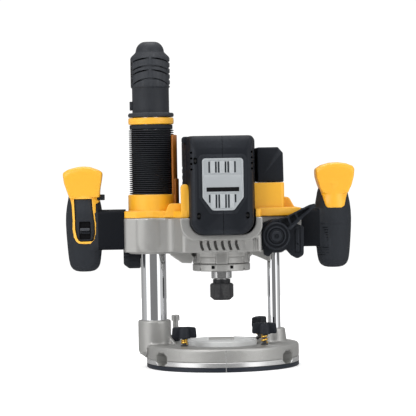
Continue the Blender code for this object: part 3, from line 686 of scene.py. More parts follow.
class BuildShroud(bpy.types.Operator):
    """Clear insert in the middle of the base, with its rear duct mouth, a screw and a clip"""

    bl_idname = "router.build_shroud"
    bl_label = "Clear shroud"

    def execute(self, context):
        shroud = turned("clear_shroud_skin", [
            (31, 5.6), (31.6, 5), (36.6, 5), (37.2, 5.6), (37.2, 27.4), (36.4, 28.5), (35, 28.5),
            (34.2, 27.6), (34.2, 9.5), (31, 7.5),
        ], steps=120)
        cut(shroud, block("window", (-14, 14), (24, 42), (24.9, 30)))
        finish(shroud, "clear", "base", ["clear_shroud"])
        screw = rod("shroud_screw", 2.6, 24.2, 27.4, (-40.8, -6, 0), "Z", 24)
        cut(screw, block("slot", (-44, -37), (-6.5, -5.5), (26.6, 28)))
        finish(screw, "dark_steel", "base")
        clip = slab("shroud_clip", [
            (33, 24), (36, 24), (41, 28), (43.5, 28.4), (43.5, 30), (40, 29.8), (34, 26),
        ], 9, 15, "Y")
        finish(soften(clip, 0.3), "dark_steel", "base")
        return {"FINISHED"}


class BuildColumns(bpy.types.Operator):
    """Wide dust column and slim guide column, both polished"""

    bl_idname = "router.build_columns"
    bl_label = "Columns"

    def execute(self, context):
        dust = tube("dust_column_skin", 13.5, 11, 22.3, 272, LEFT_COLUMN, steps=96)
        finish(dust, "chrome", "base", ["dust_column"])
        guide = tube("guide_column_skin", 6.7, 4.6, 8.3, 172, RIGHT_COLUMN, steps=72)
        finish(guide, "chrome", "base", ["guide_column"])
        return {"FINISHED"}


class BuildBellows(bpy.types.Operator):
    """Folded dust bellows on the wide column, with the cuff above them"""

    bl_idname = "router.build_bellows"
    bl_label = "Dust bellows"

    def execute(self, context):
        count, outer = sizes().folds, 24.3
        inner = outer - sizes().fold_depth / MM
        pitch = (FOLD_HIGH - FOLD_LOW) / count
        profile = []
        for i in range(count):
            base = FOLD_LOW + i * pitch
            for share, radius in (
                (0.05, inner), (0.15, inner + 1), (0.26, outer - 0.7), (0.42, outer), (0.63, outer),
                (0.79, outer - 0.7), (0.9, inner + 1),
            ):
                profile.append((radius, base + share * pitch))
        wall = [(radius - 1.1, height) for radius, height in reversed(profile)]
        bellows = turned("dust_bellows_skin", profile + wall, LEFT_COLUMN, steps=96)
        shade(bellows, 75)
        bellows.data.materials.clear()
        bellows.data.materials.append(FINISH["bellows"])
        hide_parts("dust_bellows")
        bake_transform(bellows)
        cuff = turned("bellows_cuff_skin", [
            (15, 256.2), (22.4, 256.2), (23.2, 257), (23.2, 260.4), (22.6, 261.1), (15, 261.1),
        ], LEFT_COLUMN, steps=96)
        finish(cuff, "black", "base", ["bellows_cuff"])
        return {"FINISHED"}


class BuildAdapter(bpy.types.Operator):
    """Yellow ring and the ribbed black hose adapter on top of the dust column"""

    bl_idname = "router.build_adapter"
    bl_label = "Dust adapter"

    def execute(self, context):
        spot = LEFT_COLUMN
        ring = turned("adapter_ring_skin", [
            (15, 261.6), (23.7, 261.6), (24.3, 262.2), (24.6, 265), (24.3, 268), (23.7, 268.6), (15, 268.6),
        ], spot, steps=96)
        finish(ring, "yellow", "base", ["adapter_ring"])
        inside = [
            (6.8, ADAPTER_TOP - 0.4), (6.8, 347.2), (12.4, 340), (17.2, 332), (17.2, 278), (13.8, 273),
            (13.8, 269.4),
        ]
        outside = [
            (23.6, 269.4), (24.4, 270), (24.7, 271.4), (24.4, 273), (23.6, 273.8), (20.4, 274), (19.9, 274.6),
            (19.9, 300.2), (20.2, 300.8), (21, 301.6), (21.2, 302.4), (21.2, 332.4), (20.6, 334.2),
            (15.9, 338.8), (15.3, 340), (15, 342), (14.2, 344.4), (13, 346.4), (11.4, 348.2), (9.6, 349.5),
            (8.2, 350.1), (7.3, ADAPTER_TOP),
        ]
        adapter = turned("dust_adapter_skin", outside + inside, spot, steps=128)
        # Arched finger grooves across the front and the back of the gripping part.
        for facing in (-90, 90):
            for rise, sag, bridge in ((333.4, 3.6, 3), (325.4, 4.4, 0), (320.6, 4.6, 3), (311.6, 6, 0)):
                for part in ((-1, 1),) if not bridge else ((-1, -bridge / 42), (bridge / 42, 1)):
                    arch = []
                    for step in range(17):
                        t = part[0] + (part[1] - part[0]) * step / 16
                        arch.append((math.radians(facing + 60 * t), rise - 1.4 - sag * t * t))
                    cut(adapter, groove_tool("arch", arch, 21.2, 0.9, 1.7, LEFT_X))
            # Scalloped ribs on both sides.
            for k in range(5):
                low = 303.6 + 6.2 * k
                rib = [(math.radians(facing + 90 + 26 * (-1 + step / 4)), low) for step in range(9)]
                cut(adapter, groove_tool("scallop", rib, 21.2, 0.9, 2.2, LEFT_X))
        lug = slab("lug", rounded(rectangle(LEFT_X - 22.8, LEFT_X - 17, -3.4, 3.4, 1), 4), 277, 286.5)
        join(adapter, soften(lug, 0.5, 2))
        finish(adapter, "hose", "base", ["dust_adapter"], 30)
        return {"FINISHED"}


def groove_tool(name, path, radius, depth, width, x):
    """A thin strip that follows (angle, height) points round a column, for cutting a groove."""
    ring = [(angle, height + width / 2) for angle, height in path]
    ring += [(angle, height - width / 2) for angle, height in reversed(path)]

    def face(reach):
        return [at(x + reach * math.cos(a), reach * math.sin(a), h) for a, h in ring]

    return lofted(name, [face(radius - depth), face(radius + 1.5)])


class BuildClamps(bpy.types.Operator):
    """Three wing knobs with their springs, the depth turret and its stop screws"""

    bl_idname = "router.build_clamps"
    bl_label = "Clamps and turret"

    def execute(self, context):
        for name, x, y, low in CLAMPS:
            outline_points = rounded([
                (x - 13.3, low + 0.7, 1.8), (x - 12.4, low + 11.6, 2.2), (x - 4.6, low + 12.3, 2),
                (x + 4.6, low + 12.3, 2), (x + 12.4, low + 11.6, 2.2), (x + 13.3, low + 0.7, 1.8),
            ], 5)
            wing = slab(f"fence_clamp_knob_{name}_skin", outline_points, y - 3.6, y + 3.6, "Y")
            soften(wing, 1.3, 3)
            hub = turned("hub", [
                (0, low), (6, low), (6.6, low + 0.6), (6.6, low + 9), (5.4, low + 11.6), (3.5, low + 12.2),
                (0, low + 12.2),
            ], (x, y, 0), steps=48)
            join(wing, hub)
            if name == "back_right":
                turn_mesh(wing, math.radians(BACK_KNOB_TURN), (x, y, 0))
            finish(wing, "black", f"clamp_{name}", [f"fence_clamp_knob_{name}"])
            stud = rod(f"fence_clamp_stud_{name}", 2.2, 16.5, low + 1, (x, y, 0), "Z", 24)
            finish(stud, "dark_steel", f"clamp_{name}")
            washer = rod(f"fence_clamp_washer_{name}", 3.9, 25.6, 26.6, (x, y, 0), "Z", 32, 0.2)
            cut(washer, rod("bore", 2.35, 25, 28, (x, y, 0), "Z", 24, 0.1))
            finish(washer, "dark_steel", "base")
            finish(coil_spring(f"fence_clamp_spring_{name}_skin", (x, y), 2.75, 1.0, 27.9, low - 1.2, 2.0),
                   "gold", "base", [f"fence_clamp_spring_{name}"])
        disc = turned("depth_turret_skin", [
            (0, 17), (5, 17), (5, 24.8), (12.3, 24.8), (13, 25.5), (13, 29.2), (12.2, 30), (0, 30),
        ], (TURRET_X, TURRET_Y, 0), steps=96)
        for u, v in round_points(18, 13.4, TURRET_X, TURRET_Y):
            cut(disc, rod("scallop", 1.1, 24, 31, (u, v, 0), "Z", 12))
        finish(disc, "black", "turret", ["depth_turret"])
        for name in ("tall", "middle", "short"):
            low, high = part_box(f"stop_screw_{name}")
            spot = ((low.x + high.x) / 2 / MM - SPINDLE.x / MM, (low.y + high.y) / 2 / MM, 0)
            top = high.z / MM
            screw = turned(f"stop_screw_{name}_skin", [
                (0, 30.3), (3.1, 30.3), (3.1, top - 6.4), (4.5, top - 6.2), (4.5, top - 0.7), (3.6, top),
                (0, top),
            ], spot, steps=40)
            cut(screw, block(
                "slot", (spot[0] - 5, spot[0] + 5), (spot[1] - 0.6, spot[1] + 0.6), (top - 2, top + 1),
            ))
            finish(screw, "zinc", "turret", [f"stop_screw_{name}"])
            if top > 42:
                nut = slab(f"stop_nut_{name}", round_points(6, 4.1, *spot[:2]), 30.4, 34.4)
                cut(nut, rod("bore", 3.15, 30, 36, spot, "Z", 24, 0.1))
                finish(soften(nut, 0.3), "zinc", "turret")
        return {"FINISHED"}


def coil_spring(name, centre, radius, wire, low, high, turns):
    """A wire spring: a small circle swept round its axis and upwards."""
    count = 10
    spots = round_points(count, wire, centre[0] + radius, low)
    spring = outline(name, [at(u, centre[1], v) for u, v in spots], True)
    steps = int(28 * turns)
    bpy.ops.object.mode_set(mode="EDIT")
    bpy.ops.mesh.select_all(action="SELECT")
    climb = Vector((0, 0, (high - low) / steps * MM))
    pivot = at(centre[0], centre[1], 0)
    mesh = bmesh.from_edit_mesh(spring.data)
    for _ in range(steps):
        bpy.ops.mesh.extrude_region_move(TRANSFORM_OT_translate={"value": climb})
        mesh = bmesh.from_edit_mesh(spring.data)
        turn = Matrix.Rotation(TAU * turns / steps, 4, "Z")
        for vert in mesh.verts:
            if vert.select:
                vert.co = pivot + turn @ (vert.co - pivot)
        bmesh.update_edit_mesh(spring.data)
    tidy_mesh()
    return spring


# ---------------------------------------------------------------- head


CASTING_TOP = 161
LAMP_X = (-10, 10)
# Corners of the head seen from above, each with its radius.
PLAN = [
    (-104.6, -18, 6), (-92, -25, 12), (-52, -30, 10), (-43, -60, 6), (40.5, -60, 3), (40.5, -38.2, 2),
    (76, -38.2, 8), (86, -20, 4), (86, 20, 4), (60, 24, 10), (42, 52, 12), (-40, 52, 12), (-54, 24, 10),
    (-88, 22, 10), (-104.6, 18, 4),
]


def inset_plan(inset):
    """The head's plan with every corner pulled towards its middle line."""
    return rounded([(x - math.copysign(inset, x), y - math.copysign(inset, y), r) for x, y, r in PLAN], 6)


class BuildCasting(bpy.types.Operator):
    """Cast head with its raised U rim, curved air slots and nose"""

    bl_idname = "router.build_casting"
    bl_label = "Head casting"

    def execute(self, context):
        body = slab("head_casting_skin", inset_plan(0), 124.5, CASTING_TOP)
        # Round walls about the columns, the nose, ears and ribs, and the U-shaped rim under the front cover.
        parts = [
            turned("barrel", [
                (0, 122.6), (24, 122.6), (28.5, 127), (29.4, 134), (29.4, CASTING_TOP), (0, CASTING_TOP),
            ], (LEFT_X - 1.2, 0, 0)),
            turned("barrel", [
                (0, 121), (10, 121), (13, 123.5), (15, 126), (15, CASTING_TOP), (0, CASTING_TOP),
            ], RIGHT_COLUMN),
            turned("nose", [(0, 111), (30.4, 111), (31, 111.6), (31, 130), (0, 130)], steps=96),
            slab("ear", [
                (-57, 126), (-36, 126), (-30, 118), (-33, 112), (-43, 112.5), (-55, 121),
            ], -24, -12, "Y"),
            slab("ear", [(30, 126), (54, 126), (52, 113), (49, 113), (38, 118), (30, 121)], -24, -12, "Y"),
            block("depth_guide", (-82, -60), (20, 52), (110, 150)),
            slab("rim", rounded([
                (-45, CASTING_TOP, 0.5), (-45, 137.6, 18), (41.6, 137.6, 16), (41.6, CASTING_TOP, 0.5),
            ], 12), -63.4, -50, "Y"),
            slab("rib", rounded(rectangle(-7.2, 5.8, 111, 126, 1)), -34.4, -20, "Y"),
            slab("rib", rounded(rectangle(-27, -23.8, 112, 126, 0.6)), -24, -10, "Y"),
            slab("rib", rounded(rectangle(23.8, 27, 112, 126, 0.6)), -24, -10, "Y"),
            turned("lip", [(0, 118.2), (32.6, 118.2), (33.4, 119), (33.4, 126), (0, 126)], steps=96),
        ]
        join(body, *parts)
        # The cover sits in the first hollow; the columns run through the two bores.
        cutters = [
            slab("seat", rounded([
                (-34.6, 170, 1), (-34.6, 143, 14), (34.6, 143, 14), (34.6, 170, 1),
            ], 12), -70, -46, "Y"),
            rod("bore", 13.9, 105, 170, LEFT_COLUMN), rod("bore", 7.1, 105, 170, RIGHT_COLUMN),
            block("pocket", (31.2, 36.6), (-70, -56), (122, 139)),
        ]
        cut(body, *cutters)
        count, slots = sizes().slots, []
        for i in range(count):
            x = -23.5 + i * 7.4
            bowed = [
                (x - 1.2, 136.6), (x + 1.6, 136.6), (x + 1.7, 133.5), (x + 2.6, 130), (x + 3.7, 127),
                (x + 1.2, 126.6), (x - 0.4, 129.5), (x - 1.2, 133),
            ]
            slots.append(slab("air_slot", bowed, -70, -60 + (10 if i < count - 1 else 0.6), "Y"))
        cast_over(body, 1.0, 3)
        cut(body, *slots, rod("rod_bore", 4.1, 100, 156, DEPTH_ROD))
        finish(body, "cast", "head", ["head_casting"], 60)

        nose = turned("nose_ring_skin", [
            (12.2, 103.6), (12.8, 103), (30.2, 103), (31, 103.8), (31, 109.8), (30.4, 110.6), (12.2, 110.6),
        ], steps=112)
        for x in LAMP_X:
            cut(nose, block("lamp_window", (x - 1.7, x + 1.7), (-36, -26.5), (105.8, 109.2)))
        for x in (-23.5, 23.5):
            cut(nose, block("gap", (x - 0.5, x + 0.5), (-36, -10), (102, 106)))
        finish(nose, "cast", "head", ["nose_ring"])
        for side, x in zip(("left", "right"), LAMP_X):
            lens = slab(
                f"led_lens_{side}_skin", rounded(rectangle(x - 1.5, x + 1.5, 106, 109, 0.8), 4), -29.4, -27.3,
                "Y",
            )
            finish(soften(lens, 0.3), "dark", "head", [f"led_lens_{side}"])
        return {"FINISHED"}


class BuildHousings(bpy.types.Operator):
    """The two yellow upper housings and the black cap over the plunge spring"""

    bl_idname = "router.build_housings"
    bl_label = "Upper housings"

    def execute(self, context):
        left = slab("left_housing_skin", inset_plan(0.4), 161.2, 168.6)
        cut(
            left, block("half", (-36, 200), (-100, -40), (150, 180)),
            block("half", (-24, 200), (-41, 100), (150, 180)),
        )
        soften(left, 1.0, 3, 40)
        collar = turned("collar", [
            (0, 162), (27, 162), (27, 168.6), (26, 169.4), (26, 185.2), (25.2, 186.2), (0, 186.2),
        ], LEFT_COLUMN, steps=96)
        ledge = slab("ledge", rounded([
            (-62, 162, 0), (-38, 162, 0), (-38, 176.4, 0), (-56, 176.4, 4),
        ], 6), -33, -16, "Y")
        upright = slab("upright", rounded([
            (-43.5, 162, 0), (-33.6, 162, 0), (-33.6, 184, 8), (-36, 196.7, 3), (-43.5, 196.7, 3.6),
        ], 8), -59.2, -34, "Y")
        soften(upright, 1.2, 3)
        join(left, collar, soften(ledge, 1, 3), upright)
        guard = slab("bellows_guard", guard_arc(27.2, 30, 34), 186, 250)
        soften(guard, 1, 3)
        foot = slab("guard_foot", guard_arc(27.6, 31.4, 30), 165, 203)
        soften(foot, 1.2, 3)
        join(guard, foot)
        cut(left, rod("bore", 24.6, 184, 300, LEFT_COLUMN), rod("bore", 14.2, 150, 300, LEFT_COLUMN))
        # The guard is the yellow plastic darkened as painted shade.
        finish(guard, "painted_shade_yellow", "head")
        finish(left, "yellow", "head", ["left_housing"])

        right = slab("right_housing_skin", inset_plan(0.4), 161.2, 169.5)
        cut(right, block("half", (-200, 35), (-100, 100), (150, 180)))
        soften(right, 1.0, 3, 40)
        tower = slab("tower", rounded([
            (32.2, -40, 1.5), (66.8, -40, 4), (66.8, 22, 6), (32.2, 22, 2),
        ], 10), 162, 197)
        soften(tower, 0.9, 3, 50)
        step = slab("step", rounded([
            (35.4, 161.8, 0), (35.4, 170.6, 2), (82, 170.6, 3), (84.4, 166, 1), (84.4, 161.8, 0),
        ], 6), -43.6, -9, "Y")
        soften(step, 1.2, 3)
        shoulder = slab("shoulder", rounded([
            (60, 162, 0), (60, 181.2, 0), (73, 181.2, 4), (78.6, 171, 2), (85.4, 168.4, 2), (85.4, 162, 0),
        ], 8), -18, 18, "Y")
        soften(shoulder, 1.4, 3)
        join(right, tower, step, shoulder)
        cut(right, rod("column_room", 7.6, 150, 210, RIGHT_COLUMN))
        finish(right, "yellow", "head", ["right_housing"])

        cap = slab("spring_cap_skin", rounded([
            (38.6, 197.3, 0), (66.6, 197.3, 0), (66.2, 228.4, 2), (60.8, 234.6, 2), (38.6, 234.6, 0),
        ], 6), -36, 22, "Y")
        cut(cap, rod("column_room", 7.6, 190, 230, RIGHT_COLUMN))
        soften(cap, 1.8, 4, 50)
        finish(cap, "black", "head", ["spring_cap"])
        return {"FINISHED"}


def guard_arc(inner, outer, half):
    """Plan of a wall that wraps the right side of the bellows by half degrees each way."""
    steps = 16
    angles = [math.radians(-half + 2 * half * k / steps) for k in range(steps + 1)]
    out = [(LEFT_X + (outer - 2.4) * math.cos(a), (outer - 2.4) * math.sin(a)) for a in angles]
    back = [(LEFT_X + (inner - 2.2) * math.cos(a), (inner - 2.2) * math.sin(a)) for a in reversed(angles)]
    return out + back


# Places of the cover's three screws.
SCREW_WELLS = ((-28.4, 221.0), (-25.5, 163.4), (25.5, 163.4))


def cover_section(y, half, low, high, top_radius, low_radius):
    """A section of the cover, a little narrower on the right than on the left."""
    right = half * 0.94
    points = rounded([
        (-half, low, low_radius), (right, low, low_radius), (right, high, top_radius),
        (-half, high, top_radius),
    ], 10)
    return [at(x, y, z) for x, z in points]


class BuildCovers(bpy.types.Operator):
    """Charcoal front cover in two halves and the rear housing"""

    bl_idname = "router.build_covers"
    bl_label = "Front cover and rear housing"

    def execute(self, context):
        shell = lofted("cover", [
            cover_section(-78.4, 27.5, 149.5, 233.5, 2.5, 12),
            cover_section(-77.9, 29.0, 147.6, 235.0, 3, 13),
            cover_section(-76.8, 31.2, 145.4, 239.8, 3.5, 14.5),
            cover_section(-75.0, 32.8, 144.0, 243.8, 4, 15.5),
            cover_section(-72.0, 33.8, 143.1, 246.3, 4.5, 16),
            cover_section(-66.0, 34.6, 143.0, 247.2, 5, 16),
            cover_section(-45.0, 36.8, 143.0, 247.5, 5, 15),
            cover_section(-44.6, 37.0, 161.3, 247.5, 5, 2),
            cover_section(-10.0, 40.0, 161.3, 247.5, 6, 2),
        ])
        # Raised frame round the badge.
        frame_points = shield(25.2, 227.6, 182.5, 165, 13.6, 5)
        raised = lofted("raised", [
            [at(x, -76, z) for x, z in frame_points],
            [at(x, -78.7, z) for x, z in frame_points],
            [at(x * 0.93, -79.3, z * 0.955 + 8.9) for x, z in frame_points],
        ])
        join(shell, raised)
        join(shell, soften(slab("ear", rounded(
            rectangle(-41.4, -33, 239.6, 247.1, 2.8), 6,
        ), -42, -26, "Y"), 0.8, 2))
        holes = [
            rod("hole", 1.2, -90, -30, (x, 0, 229.5 - 5.8 * k), "Y", 20, 0.1)
            for x in (-32.4, 30.8) for k in range(4)
        ]
        for x, z in SCREW_WELLS:
            oval = rounded(rectangle(x - 1.9, x + 1.9, z - 3.6, z + 3.6, 1.8), 6)
            holes.append(slab("screw_hole", oval, -90, -72.5, "Y"))
        cut(shell, *holes)
        for z in range(4):
            cut(shell, rod("side_hole", 1.2, -60, 60, (0, -40 + 6 * (z % 2), 229 - 6 * z), "X", 16, 0.1))
        other = copy_of(shell, "front_cover_right_skin")
        shell.name = "front_cover_left_skin"
        cut(shell, block("right_half", (-0.22, 80), (-100, 20), (100, 300)))
        cut(other, block("left_half", (-80, 0.22), (-100, 20), (100, 300)))
        finish(shell, "black", "head", ["front_cover_left"], 28)
        finish(other, "black", "head", ["front_cover_right"], 28)
        for k, (x, z) in enumerate(SCREW_WELLS):
            finish(rod(
                f"cover_screw_{k + 1}", 1.7, -74, -72.4, (x, 0, z), "Y", 24, 0.2,
            ), "dark_steel", "head")

        seam = slab("cover_seam", [
            (-77.4, 152), (-76, 148.6), (-73, 145), (-45, 143.8), (-44.2, 162), (-10.6, 162), (-10.6, 246.8),
            (-66, 246.4), (-72, 245.4), (-75, 242.8), (-76.6, 239), (-77.4, 233),
        ], -0.2, 0.2, "X")
        finish(seam, "dark", "head")

        rear = lofted("rear_housing_skin", [
            cover_section(-9.8, 40.0, 161.3, 247.5, 6, 2),
            cover_section(40.0, 40.0, 161.3, 247.5, 7, 2),
            cover_section(52.0, 38.4, 161.3, 246.6, 10, 2),
            cover_section(57.0, 35.6, 162.4, 244.0, 10, 3),
            cover_section(58.0, 34.0, 163.6, 242.4, 10, 3),
        ])
        for side in (-1, 1):
            for k in range(6):
                z = 178 + 7 * k
                cut(rear, slab(
                    "louvre", [(12, z), (44, z), (44, z + 2.6), (12, z + 2.6)], side * 38.2, side * 48, "X",
                ))
        cut(rear, slab("dial_seat", rounded(rectangle(-30, -18, 220, 236, 5), 6), 55, 62, "Y"))
        finish(rear, "black", "head", ["rear_housing"], 30)
        return {"FINISHED"}


def shield(half, top, knee, foot, foot_half, radius):
    """Badge outline: square shoulders, straight sides to the knee, then slanting in to the foot."""
    return rounded([
        (-half, top, radius), (half, top, radius), (half, knee, 4), (foot_half, foot, 4),
        (-foot_half, foot, 4), (-half, knee, 4),
    ], 6)


class BuildBadge(bpy.types.Operator):
    """Silver front grille with its slots, left without any lettering"""

    bl_idname = "router.build_badge"
    bl_label = "Badge grille"

    def execute(self, context):
        plate = slab("badge_grille_skin", shield(21.4, 223.4, 182.5, 169, 11.2, 3.4), -79.6, -78.3, "Y")
        soften(plate, 0.5, 2, 60)
        border = slab("border", shield(21.4, 223.4, 182.5, 169, 11.2, 3.4), -80.2, -78.4, "Y")
        cut(border, slab("inner", shield(19.5, 221.4, 182, 171, 9.9, 2.4), -84, -77, "Y"))
        soften(border, 0.35, 2, 60)
        panels = [soften(slab(
            "panel", rounded(rectangle(-19.4, 19.4, 187.4, 206.4, 0.8), 4), -80.1, -78.4, "Y",
        ), 0.3, 2, 60)]
        for x, half in ((-10.4, 2.3), (-0.6, 2.6), (9.3, 2.3)):
            for low, high in ((207.6, 221), (171.4, 186.2)):
                panels.append(soften(slab("pillar", rounded(
                    rectangle(x - half, x + half, low, high, 0.6), 4,
                ), -80.5, -78.4, "Y"), 0.8, 3, 60))
        join(plate, border, *panels)
        slits = []
        for x, low in (
            (-14.1, 177.2), (-7.1, 171.6), (-4.2, 171.6), (2.9, 171.6), (5.8, 171.6), (12.9, 177.2),
        ):
            for bottom, top in ((208.4, 219.9), (low, 185.6)):
                slits.append(block("slit", (x - 0.85, x + 0.85), (-84, -78.7), (bottom, top)))
        slits.append(block("bar_seat", (-17.3, 16.9), (-84, -79.7), (188.6, 193.2)))
        cut(plate, *slits)
        finish(plate, "silver", "head", ["badge_grille"], 30)
        back = slab("grille_mesh", shield(20, 222, 182.2, 170, 10.4, 2.8), -79.0, -78.5, "Y")
        finish(back, "dark", "head")
        bar = slab("badge_bar", rounded(rectangle(-17.2, 16.8, 188.7, 193.1, 0.4), 3), -79.95, -79.3, "Y")
        finish(soften(bar, 0.15, 2), "dark", "head")
        return {"FINISHED"}


# ---------------------------------------------------------------- handles


# A grip's profile, then outlines of crowns, bezel and tongue as (distance from the grip's axis, height).
GRIP = [
    (0, 104.3), (6, 104.4), (10, 105.2), (12.8, 106.8), (14.8, 109), (16.2, 112), (17.2, 117), (18, 124),
    (18.8, 134), (19.6, 146), (20, 157), (19.7, 166), (18.6, 175), (17.2, 182), (16.3, 187.2), (14.5, 191),
    (0, 191.5),
]
CROWN_LEFT = [
    (-15.2, 183.5), (-17.2, 189), (-20.9, 200), (-22, 208.6), (-21.6, 211), (-16, 214.6), (-6, 217.1),
    (0, 217.6), (6.6, 217.1), (15.6, 214), (20, 211.2), (20.6, 208.8), (19.6, 202), (17.9, 193),
    (17.4, 184.5),
]
CROWN_RIGHT = [
    (-14.2, 184.5), (-16, 188.5), (-18, 194), (-20.5, 203), (-20.8, 208.5), (-20.4, 210.8), (-14, 214.8),
    (-5, 217.2), (3, 217.6), (12, 216.3), (19.5, 213.3), (21.3, 210), (20.6, 202.5), (18, 193), (15.8, 188.5),
    (14.2, 184.5),
]
GRIP_SHOULDER = (16.3, 187.2)
BEZEL_OUT = [
    (-16, 188), (-14.2, 182), (-12.8, 176), (-11.9, 160), (-12.3, 151), (-11, 142), (-8.6, 137.4),
    (-6, 135.3), (0, 134.6), (9, 134.9), (12.2, 137.4), (14.2, 146), (14.2, 156), (12.6, 168), (12.8, 177),
    (17.4, 179.8), (17.4, 188),
]
BEZEL_IN = [
    (-10.5, 182.8), (-9.7, 160), (-9.7, 150.5), (-8, 141.6), (-6, 138.2), (-3.6, 137), (8.4, 137.2),
    (10.2, 138.6), (11.9, 146), (11.6, 156), (9.6, 172), (8.8, 182.8),
]
TONGUE = [
    (-16.5, 196), (-15.5, 187.5), (-12.8, 179.5), (-10.5, 170.8), (-8, 168.6), (7, 168.6), (10, 170.8),
    (12.4, 179.5), (15.5, 187.5), (16.5, 196),
]


def offset_grip(x, extra):
    """The grip's own round shape, grown by a little, to trim a skin that hugs it."""
    radius, height = GRIP_SHOULDER
    profile = [(r + extra if r else 0, z) for r, z in GRIP[:-3]]
    profile += [(radius + extra, height), (17.4 + extra, 196), (0, 196)]
    return turned("hug", profile, (x, 0, 0), steps=96)


def neck_section(x, half, low, high, radius):
    """A section of the arm between the casting and a grip."""
    return [at(x, y, z) for y, z in rounded(rectangle(-half, half, low, high, radius), 6)]


def shifted(points, x):
    """An outline moved sideways."""
    return [(u + x, v) for u, v in points]


def crown(name, points, x, front, body_nodes, extra=()):
    """A thumb rest: its outline run front to back, tapered at both ends and rounded over."""
    foot = points[0][1]

    def ring(y, scale):
        return [at(x + u * (1 - (1 - scale) * 0.5), y, foot + (v - foot) * scale) for u, v in points]

    cap = lofted(name, [
        ring(front + 0.2, 0.84), ring(front + 1.6, 0.95), ring(front + 4, 1), ring(6, 1),
        ring(12, 0.95), ring(15.6, 0.84), ring(16.4, 0.7),
    ])
    if extra:
        join(cap, *extra)
    cast_over(cap, 0.85, 5)
    return finish(cap, "yellow", "head", body_nodes, 60)


class BuildGrips(bpy.types.Operator):
    """Both side handles with their crowns and the switch bezel"""

    bl_idname = "router.build_grips"
    bl_label = "Side handles"

    def execute(self, context):
        for name, x, near, far, low, high in (
            ("left", GRIP_LEFT_X, -138, -104.9, 128, 170), ("right", GRIP_RIGHT_X, 112, 86.3, 128, 168),
        ):
            grip = turned(f"{name}_grip_skin", GRIP, (x, 0, 0), steps=112)
            side = 1 if far > near else -1
            # The neck flares where it meets the grip: place, half width, spread in height, corner radius.
            flare = (
                (near - side * 4, 19, 5, 7), (near + side * 1, 18, 4, 7), (near + side * 4, 16.6, 0.8, 6),
                (near + side * 8, 16, 0, 5), (far, 16, 0, 4),
            )
            join(grip, lofted("neck", [
                neck_section(place, half, low - spread, high + spread, radius)
                for place, half, spread, radius in flare
            ]))
            # A sleeve over each neck in grip rubber darkened as painted shade.
            sleeve = lofted(f"{name}_grip_neck_painted_shade", [
                neck_section(near + side * 6, 16.5, low - 0.5, high + 0.5, 5.2),
                neck_section(far + side * 2.6, 16.5, low - 0.5, high + 0.5, 4.2),
            ])
            finish(soften(sleeve, 0.4, 2, 50), "neck", "head")
            if name == "left":
                cut(grip, slab("window", shifted(BEZEL_IN, x), -30, -2.5, "Y"))
            cast_over(grip, 0.95, 6)
            seam = turned("seam", [(15.6, 112.0), (20, 111.5), (20, 112.5)], (x, 0, 0), steps=96)
            cut(grip, seam)
            if name == "right":
                for k in range(12):
                    z = 118 + 2.7 * k
                    reach = 17.5 + (z - 118) * 0.072
                    ridge = groove_tool("ridge", [
                        (math.radians(a), z)
                        for a in range(190, 256, 6)
                    ], reach, 0.2, 1.0, x)
                    cut(grip, ridge)
                cut(grip, turned("line", [(19.3, 151.6), (22, 151.2), (22, 152)], (x, 0, 0), steps=96))
            finish(grip, "grip", "head", [f"{name}_grip"], 45)

        hug = offset_grip(GRIP_LEFT_X, 1.0)
        bezel = slab("switch_bezel_skin", shifted(BEZEL_OUT, GRIP_LEFT_X), -26, -6, "Y")
        boolean(bezel, [hug], "INTERSECT")
        cut(bezel, slab("window", shifted(BEZEL_IN, GRIP_LEFT_X), -30, 0, "Y"))
        soften(bezel, 0.5, 2, 50)
        finish(bezel, "yellow", "head", ["switch_bezel"])
        crown("left_crown_skin", CROWN_LEFT, GRIP_LEFT_X, -17.6, ["left_crown"])

        tongue = slab("tongue", shifted(TONGUE, GRIP_RIGHT_X + 1.4), -26, -6, "Y")
        boolean(tongue, [offset_grip(GRIP_RIGHT_X, 0.9)], "INTERSECT")
        crown("right_crown_skin", CROWN_RIGHT, GRIP_RIGHT_X + 1.8, -17.6, ["right_crown"], [tongue])
        return {"FINISHED"}


class BuildSwitches(bpy.types.Operator):
    """Trigger, lock slider and lock-off button of the left handle"""

    bl_idname = "router.build_switches"
    bl_label = "Trigger and locks"

    def execute(self, context):
        x = GRIP_LEFT_X
        paddle_points = [(u * 0.93 + 0.05, 160.4 + (v - 160.4) * 0.965) for u, v in BEZEL_IN]
        paddle = slab("trigger_skin", shifted(paddle_points, x), -26, -9, "Y")
        boolean(paddle, [offset_grip(x, -0.9)], "INTERSECT")
        cut(paddle, slab("slot", rounded(rectangle(x - 5.2, x + 7, 139.4, 158.6, 1.5), 5), -30, -15.5, "Y"))
        soften(paddle, 0.6, 2, 50)
        finish(paddle, "grip", "trigger", ["trigger"])
        # Painted shade: a near-black plate at the floor of the slider's slot, in place of the shade deep in
        # it.
        back = slab(
            "trigger_recess_painted_shade", rounded(rectangle(x - 5.1, x + 6.9, 139.5, 158.5, 1.5), 5), -15.6, -14.9, "Y",
        )
        finish(back, "dark", "trigger")
        slider = slab(
            "lock_slider_skin", rounded(rectangle(x - 4.4, x + 6.2, 145.4, 151.2, 1), 5), -19.9, -15.7, "Y",
        )
        soften(slider, 0.8, 3)
        for k in range(5):
            u = x - 3.6 + 2.1 * k
            cut(slider, block("gap", (u, u + 0.8), (-21, -18.6), (144, 149.4)))
        finish(slider, "black", "lock_slider", ["lock_slider"])
        ridge = slab(
            "lock_slider_ridge", rounded(rectangle(x - 4.1, x + 5.9, 148.8, 151.6, 0.9), 4), -21.6, -17, "Y",
        )
        finish(soften(ridge, 0.7, 3), "grey", "lock_slider")
        button = slab(
            "lock_off_button_skin", rounded(rectangle(-12, -3, 181, 187.2, 1.2), 5), -132.4, -124.5, "X",
        )
        soften(button, 0.9, 3)
        finish(button, "black", "lock_off", ["lock_off_button"])
        return {"FINISHED"}


# ---------------------------------------------------------------- lever, depth rod and spindle


